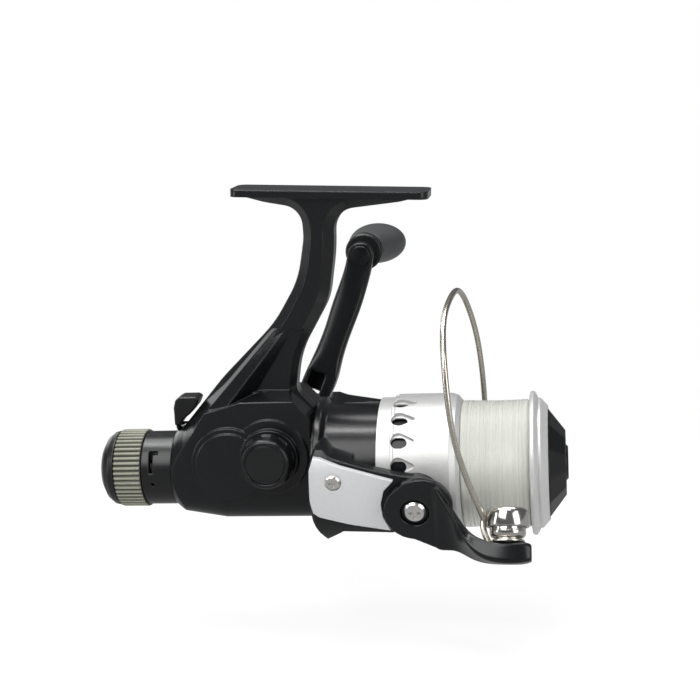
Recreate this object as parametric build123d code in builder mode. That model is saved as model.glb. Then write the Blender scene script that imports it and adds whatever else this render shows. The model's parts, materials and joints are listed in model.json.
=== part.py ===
from build123d import *
import os
from math import acos, atan2, cos, degrees, pi, radians, sin, sqrt, tan

"""Spinning reel with a rear drag: every piece is modelled where it sits in the assembled reel.

Frame: millimetres, +Z up towards the rod, origin at the middle of the foot's seat.
Most sizes are laid out from the datum point where the crank's plane crosses the shaft line:
x runs forward along the shaft line, z is the height above it, +Y is the handle side.
"""

# ---------------------------------------------------------------- driving dimensions
seat_height = 88.6          # foot seat above the shaft line
foot_forward = 22.0         # middle of the foot ahead of the crank
foot_length = 61.0
foot_width = 16.0
foot_thickness = 2.3        # at the tips
foot_pitch = 3.2            # degrees, the foot's front dips towards the shaft line

crank_height = 6.8          # crank axis above the shaft line
crank_radius = 55.7         # crank axis to knob axis
crank_rest_angle = 21.8     # degrees, arm leans forward from vertical

shaft_radius = 2.0
running_gap = 0.06          # radial clearance of a turning or sliding fit
face_gap = 0.3              # axial clearance beside turning faces
wall = 1.9                  # moulded wall of the body

body_half_width = 12.6
body_bottom = 15.3          # below the shaft line
body_top = 26.4             # ledge under the stem
body_front = 13.0
body_rear = -33.2
stem_half_width = 6.4

rotor_rest_angle = 13.0     # degrees, lever-side arm turned below the horizontal
drum_radius = 20.0
drum_wall = 1.6
rotor_rear = 14.6
drum_front = 50.0
arm_inner_radius = 23.0
arm_outer_radius = 25.6
arm_cover_thickness = 1.2
bail_pivot_x = 46.3         # bail pivots ahead of the crank
bail_boss_radius = 9.4
bail_boss_thickness = 4.2
roller_x = 74.0

skirt_rear = 34.1
skirt_radius = 22.4
skirt_bore = 20.5
line_rear = 59.4
line_front = 80.6
lip_radius = 22.5
line_radius = 20.1          # full spool
arbor_radius = 14.9
vent_groups = 3
vents_in_group = 4

drag_knob_radius = 12.6
drag_knob_end = -58.4
drag_barrel_rear = -43.1
drag_barrel_radius = 11.9

gear_teeth = 35
pinion_teeth = 7
pinion_radius = 4.2         # pitch radius
mesh_radius = 12.0          # face gear tooth ring
osc_module = 0.8
osc_drive_teeth = 11
osc_teeth = 23
osc_height = 4.2            # oscillation gear axis above the shaft line
osc_pin_radius = 7.6
osc_slot_slant = 18.2       # degrees, lengthens the stroke
spool_reach = (-6.0, 10.0)  # spool travel from rest

# ---------------------------------------------------------------- frame and helpers
x0 = -foot_forward
z0 = -seat_height
side = Plane(origin=(x0, 0, z0), x_dir=(1, 0, 0), z_dir=(0, -1, 0))
shaft_axis = Axis((x0, 0, z0), (1, 0, 0))
crank_axis = Axis((x0, 0, z0 + crank_height), (0, 1, 0))
rest = radians(rotor_rest_angle)
rotor_y = (0, cos(rest), sin(rest))
rotor_side = Plane(origin=(x0, 0, z0), x_dir=(1, 0, 0), z_dir=(0, -cos(rest), -sin(rest)))


def across(x):
    """Plane square to the shaft line: first axis +Y, second axis +Z."""
    return Plane(origin=(x0 + x, 0, z0), x_dir=(0, 1, 0), z_dir=(1, 0, 0))


def rotor_across(x):
    """The same plane turned with the rotor: first axis along the bail pivots."""
    return Plane(origin=(x0 + x, 0, z0), x_dir=rotor_y, z_dir=(1, 0, 0))


def crank_face(y, x=0.0, z=crank_height):
    """Plane square to the crank axis at height y, seen from the plain side."""
    return Plane(origin=(x0 + x, y, z0 + z), x_dir=(1, 0, 0), z_dir=(0, -1, 0))


def rotor_point(x, y, z):
    """Global place of a point given in the rotor's own axes."""
    return Vector(x0 + x, y * cos(rest) - z * sin(rest), z0 + y * sin(rest) + z * cos(rest))


def bar_x(x_from, x_to, radius, mode=Mode.ADD):
    """Round bar or bore on the shaft line."""
    with BuildSketch(across(x_from)) as end:
        Circle(radius)
    extrude(end.sketch, amount=x_to - x_from, mode=mode)


def bar_y(y_from, y_to, radius, x=0.0, z=crank_height, mode=Mode.ADD):
    """Round bar or bore parallel to the crank axis."""
    with BuildSketch(crank_face(y_to, x, z)) as end:
        Circle(radius)
    extrude(end.sketch, amount=y_to - y_from, mode=mode)


def turned_x(points, mode=Mode.ADD):
    """Solid of revolution about the shaft line from (x, radius) points."""
    with BuildSketch(side) as half:
        with BuildLine():
            Polyline(*points, close=True)
        make_face()
    revolve(half.sketch, axis=shaft_axis, mode=mode)


def turned_y(points, mode=Mode.ADD):
    """Solid of revolution about the crank axis from (y, radius) points."""
    meridian = Plane(origin=(x0, 0, z0 + crank_height), x_dir=(0, 1, 0), z_dir=(1, 0, 0))
    with BuildSketch(meridian) as half:
        with BuildLine():
            Polyline(*points, close=True)
        make_face()
    revolve(half.sketch, axis=crank_axis, mode=mode)


def slab(plane, points, depth, mode=Mode.ADD, both=False):
    """Flat piece with a straight-sided outline."""
    with BuildSketch(plane) as outline:
        with BuildLine():
            Polyline(*points, close=True)
        make_face()
    extrude(outline.sketch, amount=depth, both=both, mode=mode)


def pan_head_screw(plane, head_radius, head_height, thread_radius, thread_length):
    """Cross-recess screw: the head stands on the plane, the thread runs behind it."""
    rim = head_height * 0.6
    with BuildSketch(plane) as head:
        Circle(head_radius)
    extrude(head.sketch, amount=rim)
    with BuildSketch(plane.offset(rim)) as crown:
        Circle(head_radius)
    extrude(crown.sketch, amount=head_height - rim, taper=45)
    with BuildSketch(plane) as thread:
        Circle(thread_radius)
    extrude(thread.sketch, amount=-thread_length)
    with BuildSketch(plane.offset(head_height)) as recess:
        Rectangle(head_radius * 1.1, head_radius * 0.26)
        Rectangle(head_radius * 0.26, head_radius * 1.1)
    extrude(recess.sketch, amount=-head_height * 0.6, mode=Mode.SUBTRACT)


def spur_ring(plane, teeth, module, thickness, first_angle=0.0):
    """Plain spur gear with straight-flanked teeth, a tooth standing at first_angle."""
    pitch_r = module * teeth / 2
    profile = ((pitch_r - 1.2 * module, 0.33), (pitch_r, 0.225), (pitch_r + 0.8 * module, 0.11))
    corners = []
    for tooth in range(teeth):
        for radius, half in profile + tuple((radius, -half) for radius, half in profile[::-1]):
            angle = radians(first_angle + (tooth - half) * 360 / teeth)
            corners.append((radius * cos(angle), radius * sin(angle)))
    slab(plane, corners, thickness)


os.makedirs("parts", exist_ok=True)


def save(piece, name):
    """Label a finished piece and write its STEP file."""
    piece.part.label = name
    export_step(piece.part, f"parts/{name}.step")


# ---------------------------------------------------------------- sizes inside the body
osc_x = -sqrt((osc_module * (osc_drive_teeth + osc_teeth) / 2) ** 2 - (crank_height - osc_height) ** 2)
gear_outer = mesh_radius + 1.6
cavity_half = body_half_width - wall
cavity_rear = body_rear + 2.2
cavity_front = body_front - 2.4
belly_radius = 8.6
belly_rear = 12.6                     # below the shaft line, at the drag barrel
belly_rise_x = -17.0                  # the underside slopes up behind here
boss_radius = 9.2
boss_face = body_half_width + 3.2     # outer face of both crank bosses
bush_radius = 5.6
drive_shaft_radius = 3.0
bearing_radius = 9.0
bearing_rear = body_front + 2.2
bearing_front = bearing_rear + 5.0
pinion_journal = 4.4
nose_radius = bearing_radius + 2.6
nose_flange_radius = drum_radius - drum_wall - 1.0
retainer_thickness = 1.0
guide_z = -8.0                        # guide rod under the shaft line
guide_radius = 1.5
lever_rod_z = 14.2                    # anti-reverse rod above the shaft line
lever_rod_radius = 1.2
screw_radius = 1.1
arm_screw_place = (21.7, 8.4)         # forward, and across a rotor arm
pawl_pivot = (-8.0, 12.2)             # across and above the shaft line
pawl_pin_radius = 0.9
column_radius = 2.2
dome_radius = 12.2                    # round housing over the oscillation gear
dome_height = 2.3
cover_screw_places = [(-27.8, -7.6), (-25.4, 9.2), (7.8, -8.6)]
sleeve_radius = 3.2
gear_face = pinion_radius + 0.75      # root of the face gear's teeth, on the handle side
mesh_x = sqrt(mesh_radius ** 2 - crank_height ** 2)
slider_x = osc_x - (spool_reach[0] + spool_reach[1]) / 2


# ---------------------------------------------------------------- body housing with stem and foot
def belly_edges():
    """Long lower edges of the solid being built."""
    return edges().filter_by(lambda edge: edge.bounding_box().size.Y < 0.1 and edge.center().Z < z0 - 9
                             and edge.bounding_box().size.X > 3)


def pod_block():
    """Gear pod: flat sides, round belly, sloping ledges, turned down to the drag barrel at the rear."""
    with BuildSketch(side) as outline:
        with BuildLine():
            Polyline((body_rear, -belly_rear), (belly_rise_x, -body_bottom), (body_front, -body_bottom),
                     (body_front, body_top - 7.6), (7.4, body_top - 1.6), (6.6, body_top - 0.2),
                     (-2.0, body_top), (-12.6, body_top - 3.2), (-24.0, body_top - 6.4),
                     (body_rear, drag_barrel_radius + 1.1), close=True)
        make_face()
    extrude(outline.sketch, amount=body_half_width, both=True)
    fillet(belly_edges(), belly_radius)
    slab(across(body_rear - 1), [(-20, -20), (20, -20), (20, body_top - 4.4), (0, body_top + 1.6),
                                 (-20, body_top - 4.4)], body_front - body_rear + 2, mode=Mode.INTERSECT)
    turned_x([(body_rear, 0), (body_rear, drag_barrel_radius + 0.3), (-31.5, 13.6), (-29.0, 15.4),
              (-25.0, 19.0), (-20.0, 25.0), (-10.0, 32.0), (body_front, 32.0), (body_front, 0)],
             mode=Mode.INTERSECT)


def stem_outline(plane):
    """Side view of the stem and the keel under the foot, carried up past the seat."""
    with BuildSketch(plane) as outline:
        with BuildLine():
            front = FilletPolyline((49.0, 84.9), (43.0, 83.8), (22.9, 82.1), (22.3, 69.5), (19.7, 54.6),
                                   (9.4, 37.5), (7.4, 25.6), (12.8, 19.4), radius=(10, 7, 60, 20, 30, 5))
            Line(front @ 1, (12.8, 2.0))
            Line((12.8, 2.0), (-20.0, 2.0))
            Line((-20.0, 2.0), (-29.0, 15.6))
            rear = FilletPolyline((-29.0, 15.6), (-16.0, 30.4), (2.0, 47.6), (10.4, 61.0), (12.95, 74.0),
                                  (12.8, 83.15), (1.3, 85.5), (-7.0, 88.0), radius=(60, 40, 30, 14, 6.5, 30))
            Line(rear @ 1, (-7.0, keel_top))
            Line((-7.0, keel_top), (49.0, keel_top))
            Line((49.0, keel_top), front @ 0)
        make_face()
    return outline.sketch


ridge_half = 2.6                      # half width of the stem's flat ridge
ridge_taper = 38.0                    # degrees, slope of its long facets
panel_depth = 1.1
keel_top = seat_height + 9.0
foot_plane = Plane(origin=(0, 0, 0), z_dir=(0, -1, 0),
                   x_dir=(cos(radians(foot_pitch)), 0, -sin(radians(foot_pitch))))


def shoulder_ring(z, half_outline):
    """One level cut through the shoulders that run from the pod up the stem's rear."""
    points = half_outline + [(x, -y) for x, y in half_outline[::-1]]
    with BuildSketch(Plane(origin=(x0, 0, z0 + z))) as ring:
        with BuildLine():
            Polyline(*points, close=True)
        make_face()
    return ring.sketch


with BuildPart() as shoulders:
    loft([shoulder_ring(12.0, [(-30.6, 3.0), (-28.0, 8.6), (-22.0, 12.5), (-12.0, 8.0)]),
          shoulder_ring(23.0, [(-22.2, 2.6), (-18.5, 8.4), (-13.0, 12.5), (-7.0, 5.2)]),
          shoulder_ring(46.0, [(0.6, 2.6), (2.8, 5.6), (6.2, 6.3), (9.0, 5.2)])], ruled=True)
    with Locations((x0, cavity_half + 50, z0)):
        Box(200, 100, 200, mode=Mode.SUBTRACT)

with BuildPart() as stem:
    extrude(stem_outline(side), amount=ridge_half)
    extrude(stem_outline(side.offset(ridge_half)), amount=stem_half_width - ridge_half, taper=ridge_taper)
    slab(side.offset(stem_half_width - panel_depth),
         [(7.6, 46.2), (13.4, 45.4), (9.2, 33.0), (7.6, 25.4), (-2.5, 26.4), (-13.7, 25.1)],
         panel_depth + 1, mode=Mode.SUBTRACT)
    slab(foot_plane, [(-foot_length, 0), (foot_length, 0), (foot_length, 20), (-foot_length, 20)],
         stem_half_width + 1, mode=Mode.SUBTRACT)
    mirror(about=Plane.XZ)

with BuildPart() as foot:
    slab(foot_plane, [(-foot_length / 2, 0), (foot_length / 2, 0), (foot_length / 2, -foot_thickness),
                      (-foot_length / 2, -foot_thickness)], foot_width / 2, both=True)
    fillet(edges().filter_by(lambda e: e.length < foot_thickness + 0.3 and abs((e % 0.5).Z) > 0.9), 3.0)


with BuildPart() as gear_cavity:      # space for the gears, open on the handle side
    low = -body_bottom + wall
    slab(side, [(cavity_rear, wall - belly_rear), (belly_rise_x, low), (cavity_front, low),
                (cavity_front, 15.8), (-24.6, 15.8), (cavity_rear, 9.6)], cavity_half, both=True)
    fillet(belly_edges(), belly_radius - wall)
    turned_x([(cavity_rear, 0), (cavity_rear, 10.4), (-29.6, 11.6), (-27.8, 13.6), (-24.2, 17.0),
              (-19.0, 23.0), (-10.0, 30.0), (cavity_front, 30.0), (cavity_front, 0)], mode=Mode.INTERSECT)
    bar_y(gear_face - 1.6, cavity_half, gear_outer + 0.6)


def screw_columns(y_from, y_to, radius, mode=Mode.ADD):
    """Round columns or bores where the side cover is screwed on."""
    for x, z in cover_screw_places:
        bar_y(y_from, y_to, radius, x, z, mode)


with BuildPart() as body_housing:
    pod_block()
    with Locations((x0, cavity_half + 50, z0)):
        Box(200, 100, 200, mode=Mode.SUBTRACT)
    add(shoulders.part)
    add(stem.part)
    add(foot.part)
    bar_y(-body_half_width - 1.0, 0, 12.0)
    bar_y(-boss_face, 0, boss_radius)
    bar_y(-body_half_width - 1.4, 0, dome_radius, osc_x, osc_height)
    bar_y(-body_half_width - dome_height, 0, dome_radius - 1.6, osc_x, osc_height)
    bar_x(body_front, bearing_rear + 0.6, nose_flange_radius)
    bar_x(body_front, bearing_front, nose_radius)
    chamfer(edges().group_by(Axis.Y)[0], 0.7)
    add(gear_cavity.part, mode=Mode.SUBTRACT)
    screw_columns(4.0, cavity_half, column_radius)
    slab(side.offset(-4.0), [(cavity_rear - 0.5, 8.2), (-25.4, 8.2), (-25.4, 10.4), (cavity_rear + 0.6, 9.6)],
         4.0 - cavity_half)
    screw_columns(4.8, cavity_half + 1, screw_radius, mode=Mode.SUBTRACT)
    bar_y(-boss_face - 1, 0, bush_radius, mode=Mode.SUBTRACT)
    bar_y(-cavity_half - 0.9, 0, 1.5, osc_x, osc_height, mode=Mode.SUBTRACT)
    bar_x(cavity_front - 1, bearing_rear, pinion_journal + 1.0, mode=Mode.SUBTRACT)
    bar_x(bearing_rear, bearing_front + 1, bearing_radius, mode=Mode.SUBTRACT)
    bar_x(body_rear - 1, cavity_rear + 1, sleeve_radius + running_gap, mode=Mode.SUBTRACT)
    with BuildSketch(across(cavity_rear - 1.2)) as rod_ends:
        with Locations((0, guide_z)):
            Circle(guide_radius)
    extrude(rod_ends.sketch, amount=cavity_front - cavity_rear + 2.4, mode=Mode.SUBTRACT)
    with BuildSketch(across(body_rear - 1)) as lever_bore:
        with Locations((0, lever_rod_z)):
            Circle(lever_rod_radius + running_gap)
    extrude(lever_bore.sketch, amount=bearing_front - body_rear + 2, mode=Mode.SUBTRACT)
    with BuildSketch(across(body_rear - 1)) as lever_pocket:
        with Locations((0, lever_rod_z)):
            Circle(2.2)
    extrude(lever_pocket.sketch, amount=2.9, mode=Mode.SUBTRACT)
    with BuildSketch(across(body_front + 0.8)) as pawl_bore:
        with Locations(pawl_pivot):
            Circle(pawl_pin_radius)
    extrude(pawl_bore.sketch, amount=10, mode=Mode.SUBTRACT)
save(body_housing, "body_housing")

with BuildPart() as side_cover:
    pod_block()
    with Locations((x0, cavity_half - 50, z0)):
        Box(200, 100, 200, mode=Mode.SUBTRACT)
    bar_y(cavity_half, boss_face, boss_radius)
    bar_y(cavity_half, body_half_width + 1.0, 12.0)
    chamfer(edges().group_by(Axis.Y)[-1], 0.7)
    bar_y(cavity_half - 1, boss_face + 1, bush_radius, mode=Mode.SUBTRACT)
    screw_columns(cavity_half - 1, body_half_width + 1, screw_radius, mode=Mode.SUBTRACT)
    screw_columns(body_half_width - 0.9, body_half_width + 1, column_radius, mode=Mode.SUBTRACT)
save(side_cover, "side_cover")


# ---------------------------------------------------------------- fixed pieces inside the body
with BuildPart() as crank_bushes:
    for y_from, y_to in ((-boss_face, -cavity_half + 0.4), (cavity_half - 0.2, boss_face)):
        bar_y(y_from, y_to, bush_radius)
        bar_y(y_from - 1, y_to + 1, drive_shaft_radius + running_gap, mode=Mode.SUBTRACT)
save(crank_bushes, "crank_bushes")

with BuildPart() as pinion_bearing:
    bar_x(bearing_rear, bearing_front, bearing_radius)
    bar_x(bearing_rear - 1, bearing_front + 1, pinion_journal + running_gap, mode=Mode.SUBTRACT)
    for x_face in (bearing_rear - 1, bearing_front - 0.5):
        turned_x([(x_face, 5.9), (x_face, 7.6), (x_face + 1.5, 7.6), (x_face + 1.5, 5.9)], mode=Mode.SUBTRACT)
save(pinion_bearing, "pinion_bearing")

retainer_front = bearing_front + retainer_thickness
retainer_screw_angle = 30.0
retainer_screw_ring = bearing_radius + 1.3
with BuildPart() as bearing_retainer:
    turned_x([(bearing_front, 5.4), (bearing_front, nose_radius), (retainer_front, nose_radius),
              (retainer_front, 5.4)])
save(bearing_retainer, "bearing_retainer")

with BuildPart() as retainer_screws:
    with BuildSketch(across(retainer_front)) as heads:
        with PolarLocations(retainer_screw_ring, 3, start_angle=retainer_screw_angle):
            Circle(1.2)
    extrude(heads.sketch, amount=0.4)
save(retainer_screws, "retainer_screws")

with BuildPart() as guide_rod:
    with BuildSketch(across(cavity_rear - 1.2)) as rod_end:
        with Locations((0, guide_z)):
            Circle(guide_radius)
    extrude(rod_end.sketch, amount=cavity_front - cavity_rear + 2.4)
save(guide_rod, "guide_rod")

with BuildPart() as cover_screws:
    for x, z in cover_screw_places:
        seat = Plane(origin=(x0 + x, body_half_width - 0.9, z0 + z), x_dir=(-1, 0, 0), z_dir=(0, 1, 0))
        pan_head_screw(seat, column_radius - 0.1, 1.2, screw_radius, body_half_width - 0.9 - 5.2)
save(cover_screws, "cover_screws")

# ---------------------------------------------------------------- crank, drive gear and handle
arm_lean = radians(crank_rest_angle)
arm_dir = (sin(arm_lean), 0, cos(arm_lean))          # from the crank axis to the knob axis
arm_cross = (cos(arm_lean), 0, -sin(arm_lean))       # along the fold pin
shaft_near = -boss_face - 4.2
hub_base = boss_face + face_gap
fold_y = 54.0                         # fold pin above the body's middle plane
hub_radius = 5.0
tongue_half = 2.5
tongue_base = 43.4
pin_radius = 1.5
root_radius = 4.7
fork_half = tongue_half + 0.1
fork_depth = 12.6
fork_open = 5.0                       # open right through up to here, with an outer web beyond
web_height = 2.0                      # inner face of that web above the fold pin
arm_root = (-4.6, 6.6)                # sides of the fork, along the fold pin
fold_pin_half = 4.4
tip_y = 66.2                          # outer face of the arm's tip
tip_radius = 4.6
knob_base = 69.0
knob_end = 94.0
post_radius = 2.0
post_seat = 61.6                      # blind end of the post's bore in the arm


def arm_face(y):
    """Plane across the crank axis: first axis along the fold pin, second along the arm."""
    return Plane(origin=(x0, y, z0 + crank_height), x_dir=arm_cross, z_dir=(0, -1, 0))


arm_side = Plane(origin=(x0, 0, z0 + crank_height), x_dir=arm_dir, z_dir=(-arm_cross[0], 0, -arm_cross[2]))

with BuildPart() as drive_shaft:
    bar_y(shaft_near, hub_base, drive_shaft_radius)
    chamfer(edges().group_by(Axis.Y)[0], 0.4)
    bar_y(hub_base - 8.0, hub_base + 1, 1.9, mode=Mode.SUBTRACT)
save(drive_shaft, "drive_shaft")

gear_back = gear_face + 2.45
contact_angle = -degrees(atan2(crank_height, mesh_x))
tooth_slant = -24.0                   # degrees, teeth against the gear's radius
with BuildPart() as drive_gear:
    turned_y([(gear_face, drive_shaft_radius), (gear_face, gear_outer), (gear_back, gear_outer),
              (gear_back + 0.9, gear_outer - 3.4), (gear_back + 0.9, 6.0), (cavity_half - 0.4, 6.0),
              (cavity_half - 0.4, drive_shaft_radius)])
    with BuildSketch(crank_face(gear_face)) as tooth_row:
        with PolarLocations(mesh_radius, gear_teeth, start_angle=contact_angle):
            Rectangle(3.3, 0.78, rotation=tooth_slant)
    extrude(tooth_row.sketch, amount=1.2, taper=14)
    with BuildSketch(crank_face(gear_back + 2)) as windows:
        with PolarLocations(7.8, 6):
            Circle(1.1)
    extrude(windows.sketch, amount=6, mode=Mode.SUBTRACT)
save(drive_gear, "drive_gear")

osc_rear_y = -8.0
osc_front_y = -5.5
with BuildPart() as oscillation_pinion:
    spur_ring(crank_face(osc_front_y), osc_drive_teeth, osc_module, osc_front_y - osc_rear_y)
    bar_y(osc_rear_y - 1, osc_front_y + 1, drive_shaft_radius, mode=Mode.SUBTRACT)
save(oscillation_pinion, "oscillation_pinion")

with BuildPart() as handle_hub:
    turned_y([(hub_base, 0), (hub_base, 8.2), (hub_base + 2.2, 8.2), (hub_base + 3.6, 6.4),
              (hub_base + 7.0, 5.2), (hub_base + 12.0, hub_radius), (tongue_base, hub_radius),
              (tongue_base, 0)])
    with BuildSketch(arm_face(tongue_base)) as tongue:
        Rectangle(2 * tongue_half, 2 * root_radius - 0.4)
    extrude(tongue.sketch, amount=-(fold_y - tongue_base))
    with BuildSketch(arm_side) as tongue_end:
        with Locations((0, fold_y)):
            Circle(root_radius - 0.2)
    extrude(tongue_end.sketch, amount=tongue_half, both=True)
    with BuildSketch(arm_side) as pin_bore:
        with Locations((0, fold_y)):
            Circle(pin_radius)
    extrude(pin_bore.sketch, amount=tongue_half + 1, both=True, mode=Mode.SUBTRACT)
    bar_y(hub_base - 8.0, hub_base, 1.9)
save(handle_hub, "handle_hub")

with BuildPart() as fold_pin:
    with BuildSketch(arm_side) as pin_end:
        with Locations((0, fold_y)):
            Circle(pin_radius)
    extrude(pin_end.sketch, amount=fold_pin_half, both=True)
save(fold_pin, "fold_pin")

with BuildPart() as handle_arm:
    with BuildSketch(arm_face(0)) as arm_front:
        with BuildLine():
            right = Spline((arm_root[1], 6.0), (6.8, 13.0), (6.2, 20.0), (6.0, 28.0), (6.2, 36.0),
                           (5.9, 45.0), (tip_radius, crank_radius))
            ThreePointArc(right @ 1, (0, crank_radius + tip_radius), (-tip_radius, crank_radius))
            left = Spline((-tip_radius, crank_radius), (-4.0, 48.0), (-4.0, 36.0), (-3.6, 28.0),
                          (-3.8, 20.0), (-4.3, 13.0), (arm_root[0], 6.0))
            Line(left @ 1, (arm_root[0], -root_radius))
            Line((arm_root[0], -root_radius), (arm_root[1], -root_radius))
            Line((arm_root[1], -root_radius), right @ 0)
        make_face()
    extrude(arm_front.sketch, amount=-100)
    with BuildSketch(arm_side) as arm_edge:
        with BuildLine():
            under = Spline((0, fold_y - root_radius), (10.0, 51.0), (28.0, 55.6), (44.0, 59.4),
                           (crank_radius + 6, 60.4), tangents=[(1, 0), (1, 0)])
            Line(under @ 1, (crank_radius + 6, tip_y))
            over = Spline((crank_radius + 6, tip_y), (46.0, 65.4), (28.0, 62.4), (12.0, 59.4),
                          (0, fold_y + root_radius), tangents=[(-1, 0), (-1, 0)])
            ThreePointArc(over @ 1, (-root_radius, fold_y), under @ 0)
        make_face()
    extrude(arm_edge.sketch, amount=20, both=True, mode=Mode.INTERSECT)
    slab(arm_side, [(-root_radius - 1, fold_y - 10), (fork_depth, fold_y - 10),
                    (fork_depth, fold_y + web_height), (fork_open, fold_y + web_height),
                    (fork_open, fold_y + 10), (-root_radius - 1, fold_y + 10)],
         fork_half, mode=Mode.SUBTRACT, both=True)
    with BuildSketch(arm_side) as ear_bore:
        with Locations((0, fold_y)):
            Circle(pin_radius + running_gap)
    extrude(ear_bore.sketch, amount=20, both=True, mode=Mode.SUBTRACT)
    with BuildSketch(arm_face(100)) as post_bore:
        with Locations((0, crank_radius)):
            Circle(post_radius)
    extrude(post_bore.sketch, amount=100 - post_seat, mode=Mode.SUBTRACT)
    with BuildSketch(arm_face(60.9)) as tip_ring:
        with Locations((0, crank_radius)):
            Circle(3.7)
            Circle(3.3, mode=Mode.SUBTRACT)
    extrude(tip_ring.sketch, amount=2, mode=Mode.SUBTRACT)
save(handle_arm, "handle_arm")


def knob_disc(y_from, y_to, radius, mode=Mode.ADD):
    """Round stretch on the knob axis at the arm's tip."""
    with BuildSketch(arm_face(y_to)) as disc:
        with Locations((0, crank_radius)):
            Circle(radius)
    extrude(disc.sketch, amount=y_to - y_from, mode=mode)


with BuildPart() as knob_post:
    knob_disc(post_seat, knob_base + 12.0, post_radius)
    knob_disc(tip_y + 0.05, knob_base - face_gap, 3.5)
save(knob_post, "knob_post")

collar_end = knob_base + 5.0
with BuildPart() as knob_collar:
    knob_disc(knob_base, collar_end, 6.6)
    chamfer(edges().filter_by(GeomType.CIRCLE), 0.5)
    knob_disc(knob_base - 1, collar_end + 1, post_radius + running_gap, mode=Mode.SUBTRACT)
save(knob_collar, "knob_collar")

knob_sections = (                     # height, half sizes along and across, shift forward
    (collar_end, 6.4, 5.6, 0.2),
    (collar_end + 5, 8.0, 6.4, 1.2),
    (collar_end + 11, 10.0, 7.0, 2.2),
    (knob_end - 3.2, 10.5, 7.2, 2.5),
    (knob_end - 0.9, 9.6, 6.3, 2.5),
)
with BuildPart() as handle_knob:
    for height, across_x, across_z, shift in knob_sections:
        with BuildSketch(Plane(origin=(x0, height, z0 + crank_height), x_dir=(1, 0, 0), z_dir=(0, 1, 0))):
            with Locations((crank_radius * arm_dir[0] + shift, -crank_radius * arm_dir[2] - 0.4)):
                Ellipse(across_x, across_z)
    loft()
    fillet(edges().group_by(Axis.Y)[-1], 1.6)
    knob_disc(collar_end - 1, knob_base + 12.5, post_radius + running_gap, mode=Mode.SUBTRACT)
save(handle_knob, "handle_knob")

cap_near = shaft_near - 2.4
cap_radius = 8.5
cap_base = -boss_face - face_gap
disc_radius = 6.3
notch_count = 9
with BuildPart() as screw_cap:
    turned_y([(cap_base, drive_shaft_radius), (cap_base, cap_radius - 0.4), (cap_base - 0.5, cap_radius),
              (cap_base - 1.3, cap_radius), (cap_near + 1.2, cap_radius - 0.5),
              (cap_near + 0.4, cap_radius - 0.9), (cap_near, cap_radius - 1.4), (cap_near, disc_radius),
              (cap_near + 0.8, disc_radius), (cap_near + 0.8, 0), (shaft_near, 0),
              (shaft_near, drive_shaft_radius)])
    with BuildSketch(crank_face(cap_base - 1.3)) as notches:
        with PolarLocations(cap_radius + 0.1, notch_count, start_angle=10):
            Rectangle(1.5, 3.2)
    extrude(notches.sketch, amount=4.4, mode=Mode.SUBTRACT)
save(screw_cap, "screw_cap")

with BuildPart() as cap_disc:
    bar_y(cap_near + 0.1, cap_near + 0.8, disc_radius)
    chamfer(edges().group_by(Axis.Y)[0], 0.3)
save(cap_disc, "cap_disc")

gear_pitch = 360 / osc_teeth
to_crank = degrees(atan2(crank_height - osc_height, -osc_x))
pinion_lag = 1 - (to_crank + 180) * osc_drive_teeth / 360 % 1      # to the pinion's next tooth
osc_first_tooth = to_crank + (0.5 - pinion_lag) * gear_pitch
slot_turn = acos((slider_x - osc_x) * cos(radians(osc_slot_slant)) / osc_pin_radius)
osc_pin_angle = osc_slot_slant + degrees(slot_turn)
with BuildPart() as oscillation_gear:
    spur_ring(crank_face(osc_front_y, osc_x, osc_height), osc_teeth, osc_module, osc_front_y - osc_rear_y,
              osc_first_tooth)
    bar_y(-cavity_half + face_gap, osc_rear_y, 4.0, osc_x, osc_height)
    bar_y(-cavity_half - 1, osc_front_y + 1, 1.5 + running_gap, osc_x, osc_height, mode=Mode.SUBTRACT)
    with BuildSketch(crank_face(osc_front_y + 0.4, osc_x, osc_height)) as pin:
        with PolarLocations(osc_pin_radius, 1, start_angle=osc_pin_angle):
            Circle(1.2)
    extrude(pin.sketch, amount=0.4)
save(oscillation_gear, "oscillation_gear")

with BuildPart() as oscillation_axle:
    bar_y(-cavity_half - 0.9, osc_front_y + 0.2, 1.5, osc_x, osc_height)
save(oscillation_axle, "oscillation_axle")


# ---------------------------------------------------------------- pinion and rotor
tooth_twist = -22.3                   # degrees per millimetre, about the shaft line
toothed_rear = 6.4
toothed_front = body_front + 0.4
pinion_root = pinion_radius - 0.75
pinion_tip = pinion_radius + 0.5
ratchet_rear = retainer_front + 0.5
ratchet_front = ratchet_rear + 2.0
ratchet_radius = 8.5
hub_rear = ratchet_front + 0.8
web_rear = 33.0
web_front = 35.0
rotor_hub_radius = 6.5
nut_front = web_front + 4.2


def pinion_section(x):
    """One cut through the pinion's helical teeth, with a gap facing the drive gear at the mesh."""
    gap_angle = tooth_twist * (x - mesh_x)
    pitch = 360 / pinion_teeth
    points = []
    for tooth in range(pinion_teeth):
        middle = gap_angle + (tooth + 0.5) * pitch
        for half, radius in ((-17.5, pinion_root), (-9.8, pinion_radius), (-5.8, pinion_tip),
                             (5.8, pinion_tip), (9.8, pinion_radius), (17.5, pinion_root)):
            angle = radians(middle + half)
            points.append((radius * cos(angle), radius * sin(angle)))
    return points


with BuildPart() as pinion:
    steps = 14
    for step in range(steps + 1):
        x = toothed_rear + (toothed_front - toothed_rear) * step / steps
        with BuildSketch(across(x)):
            with BuildLine():
                Polyline(*pinion_section(x), close=True)
            make_face()
    loft(ruled=True)
    bar_x(toothed_rear - 0.8, toothed_rear, pinion_root - 0.1)
    bar_x(toothed_front, nut_front - 1.2, pinion_journal)
    bar_x(nut_front - 1.2, nut_front + 0.6, pinion_journal - 0.5)
    bar_x(toothed_rear - 2, nut_front + 2, shaft_radius + running_gap, mode=Mode.SUBTRACT)
save(pinion, "pinion")

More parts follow.
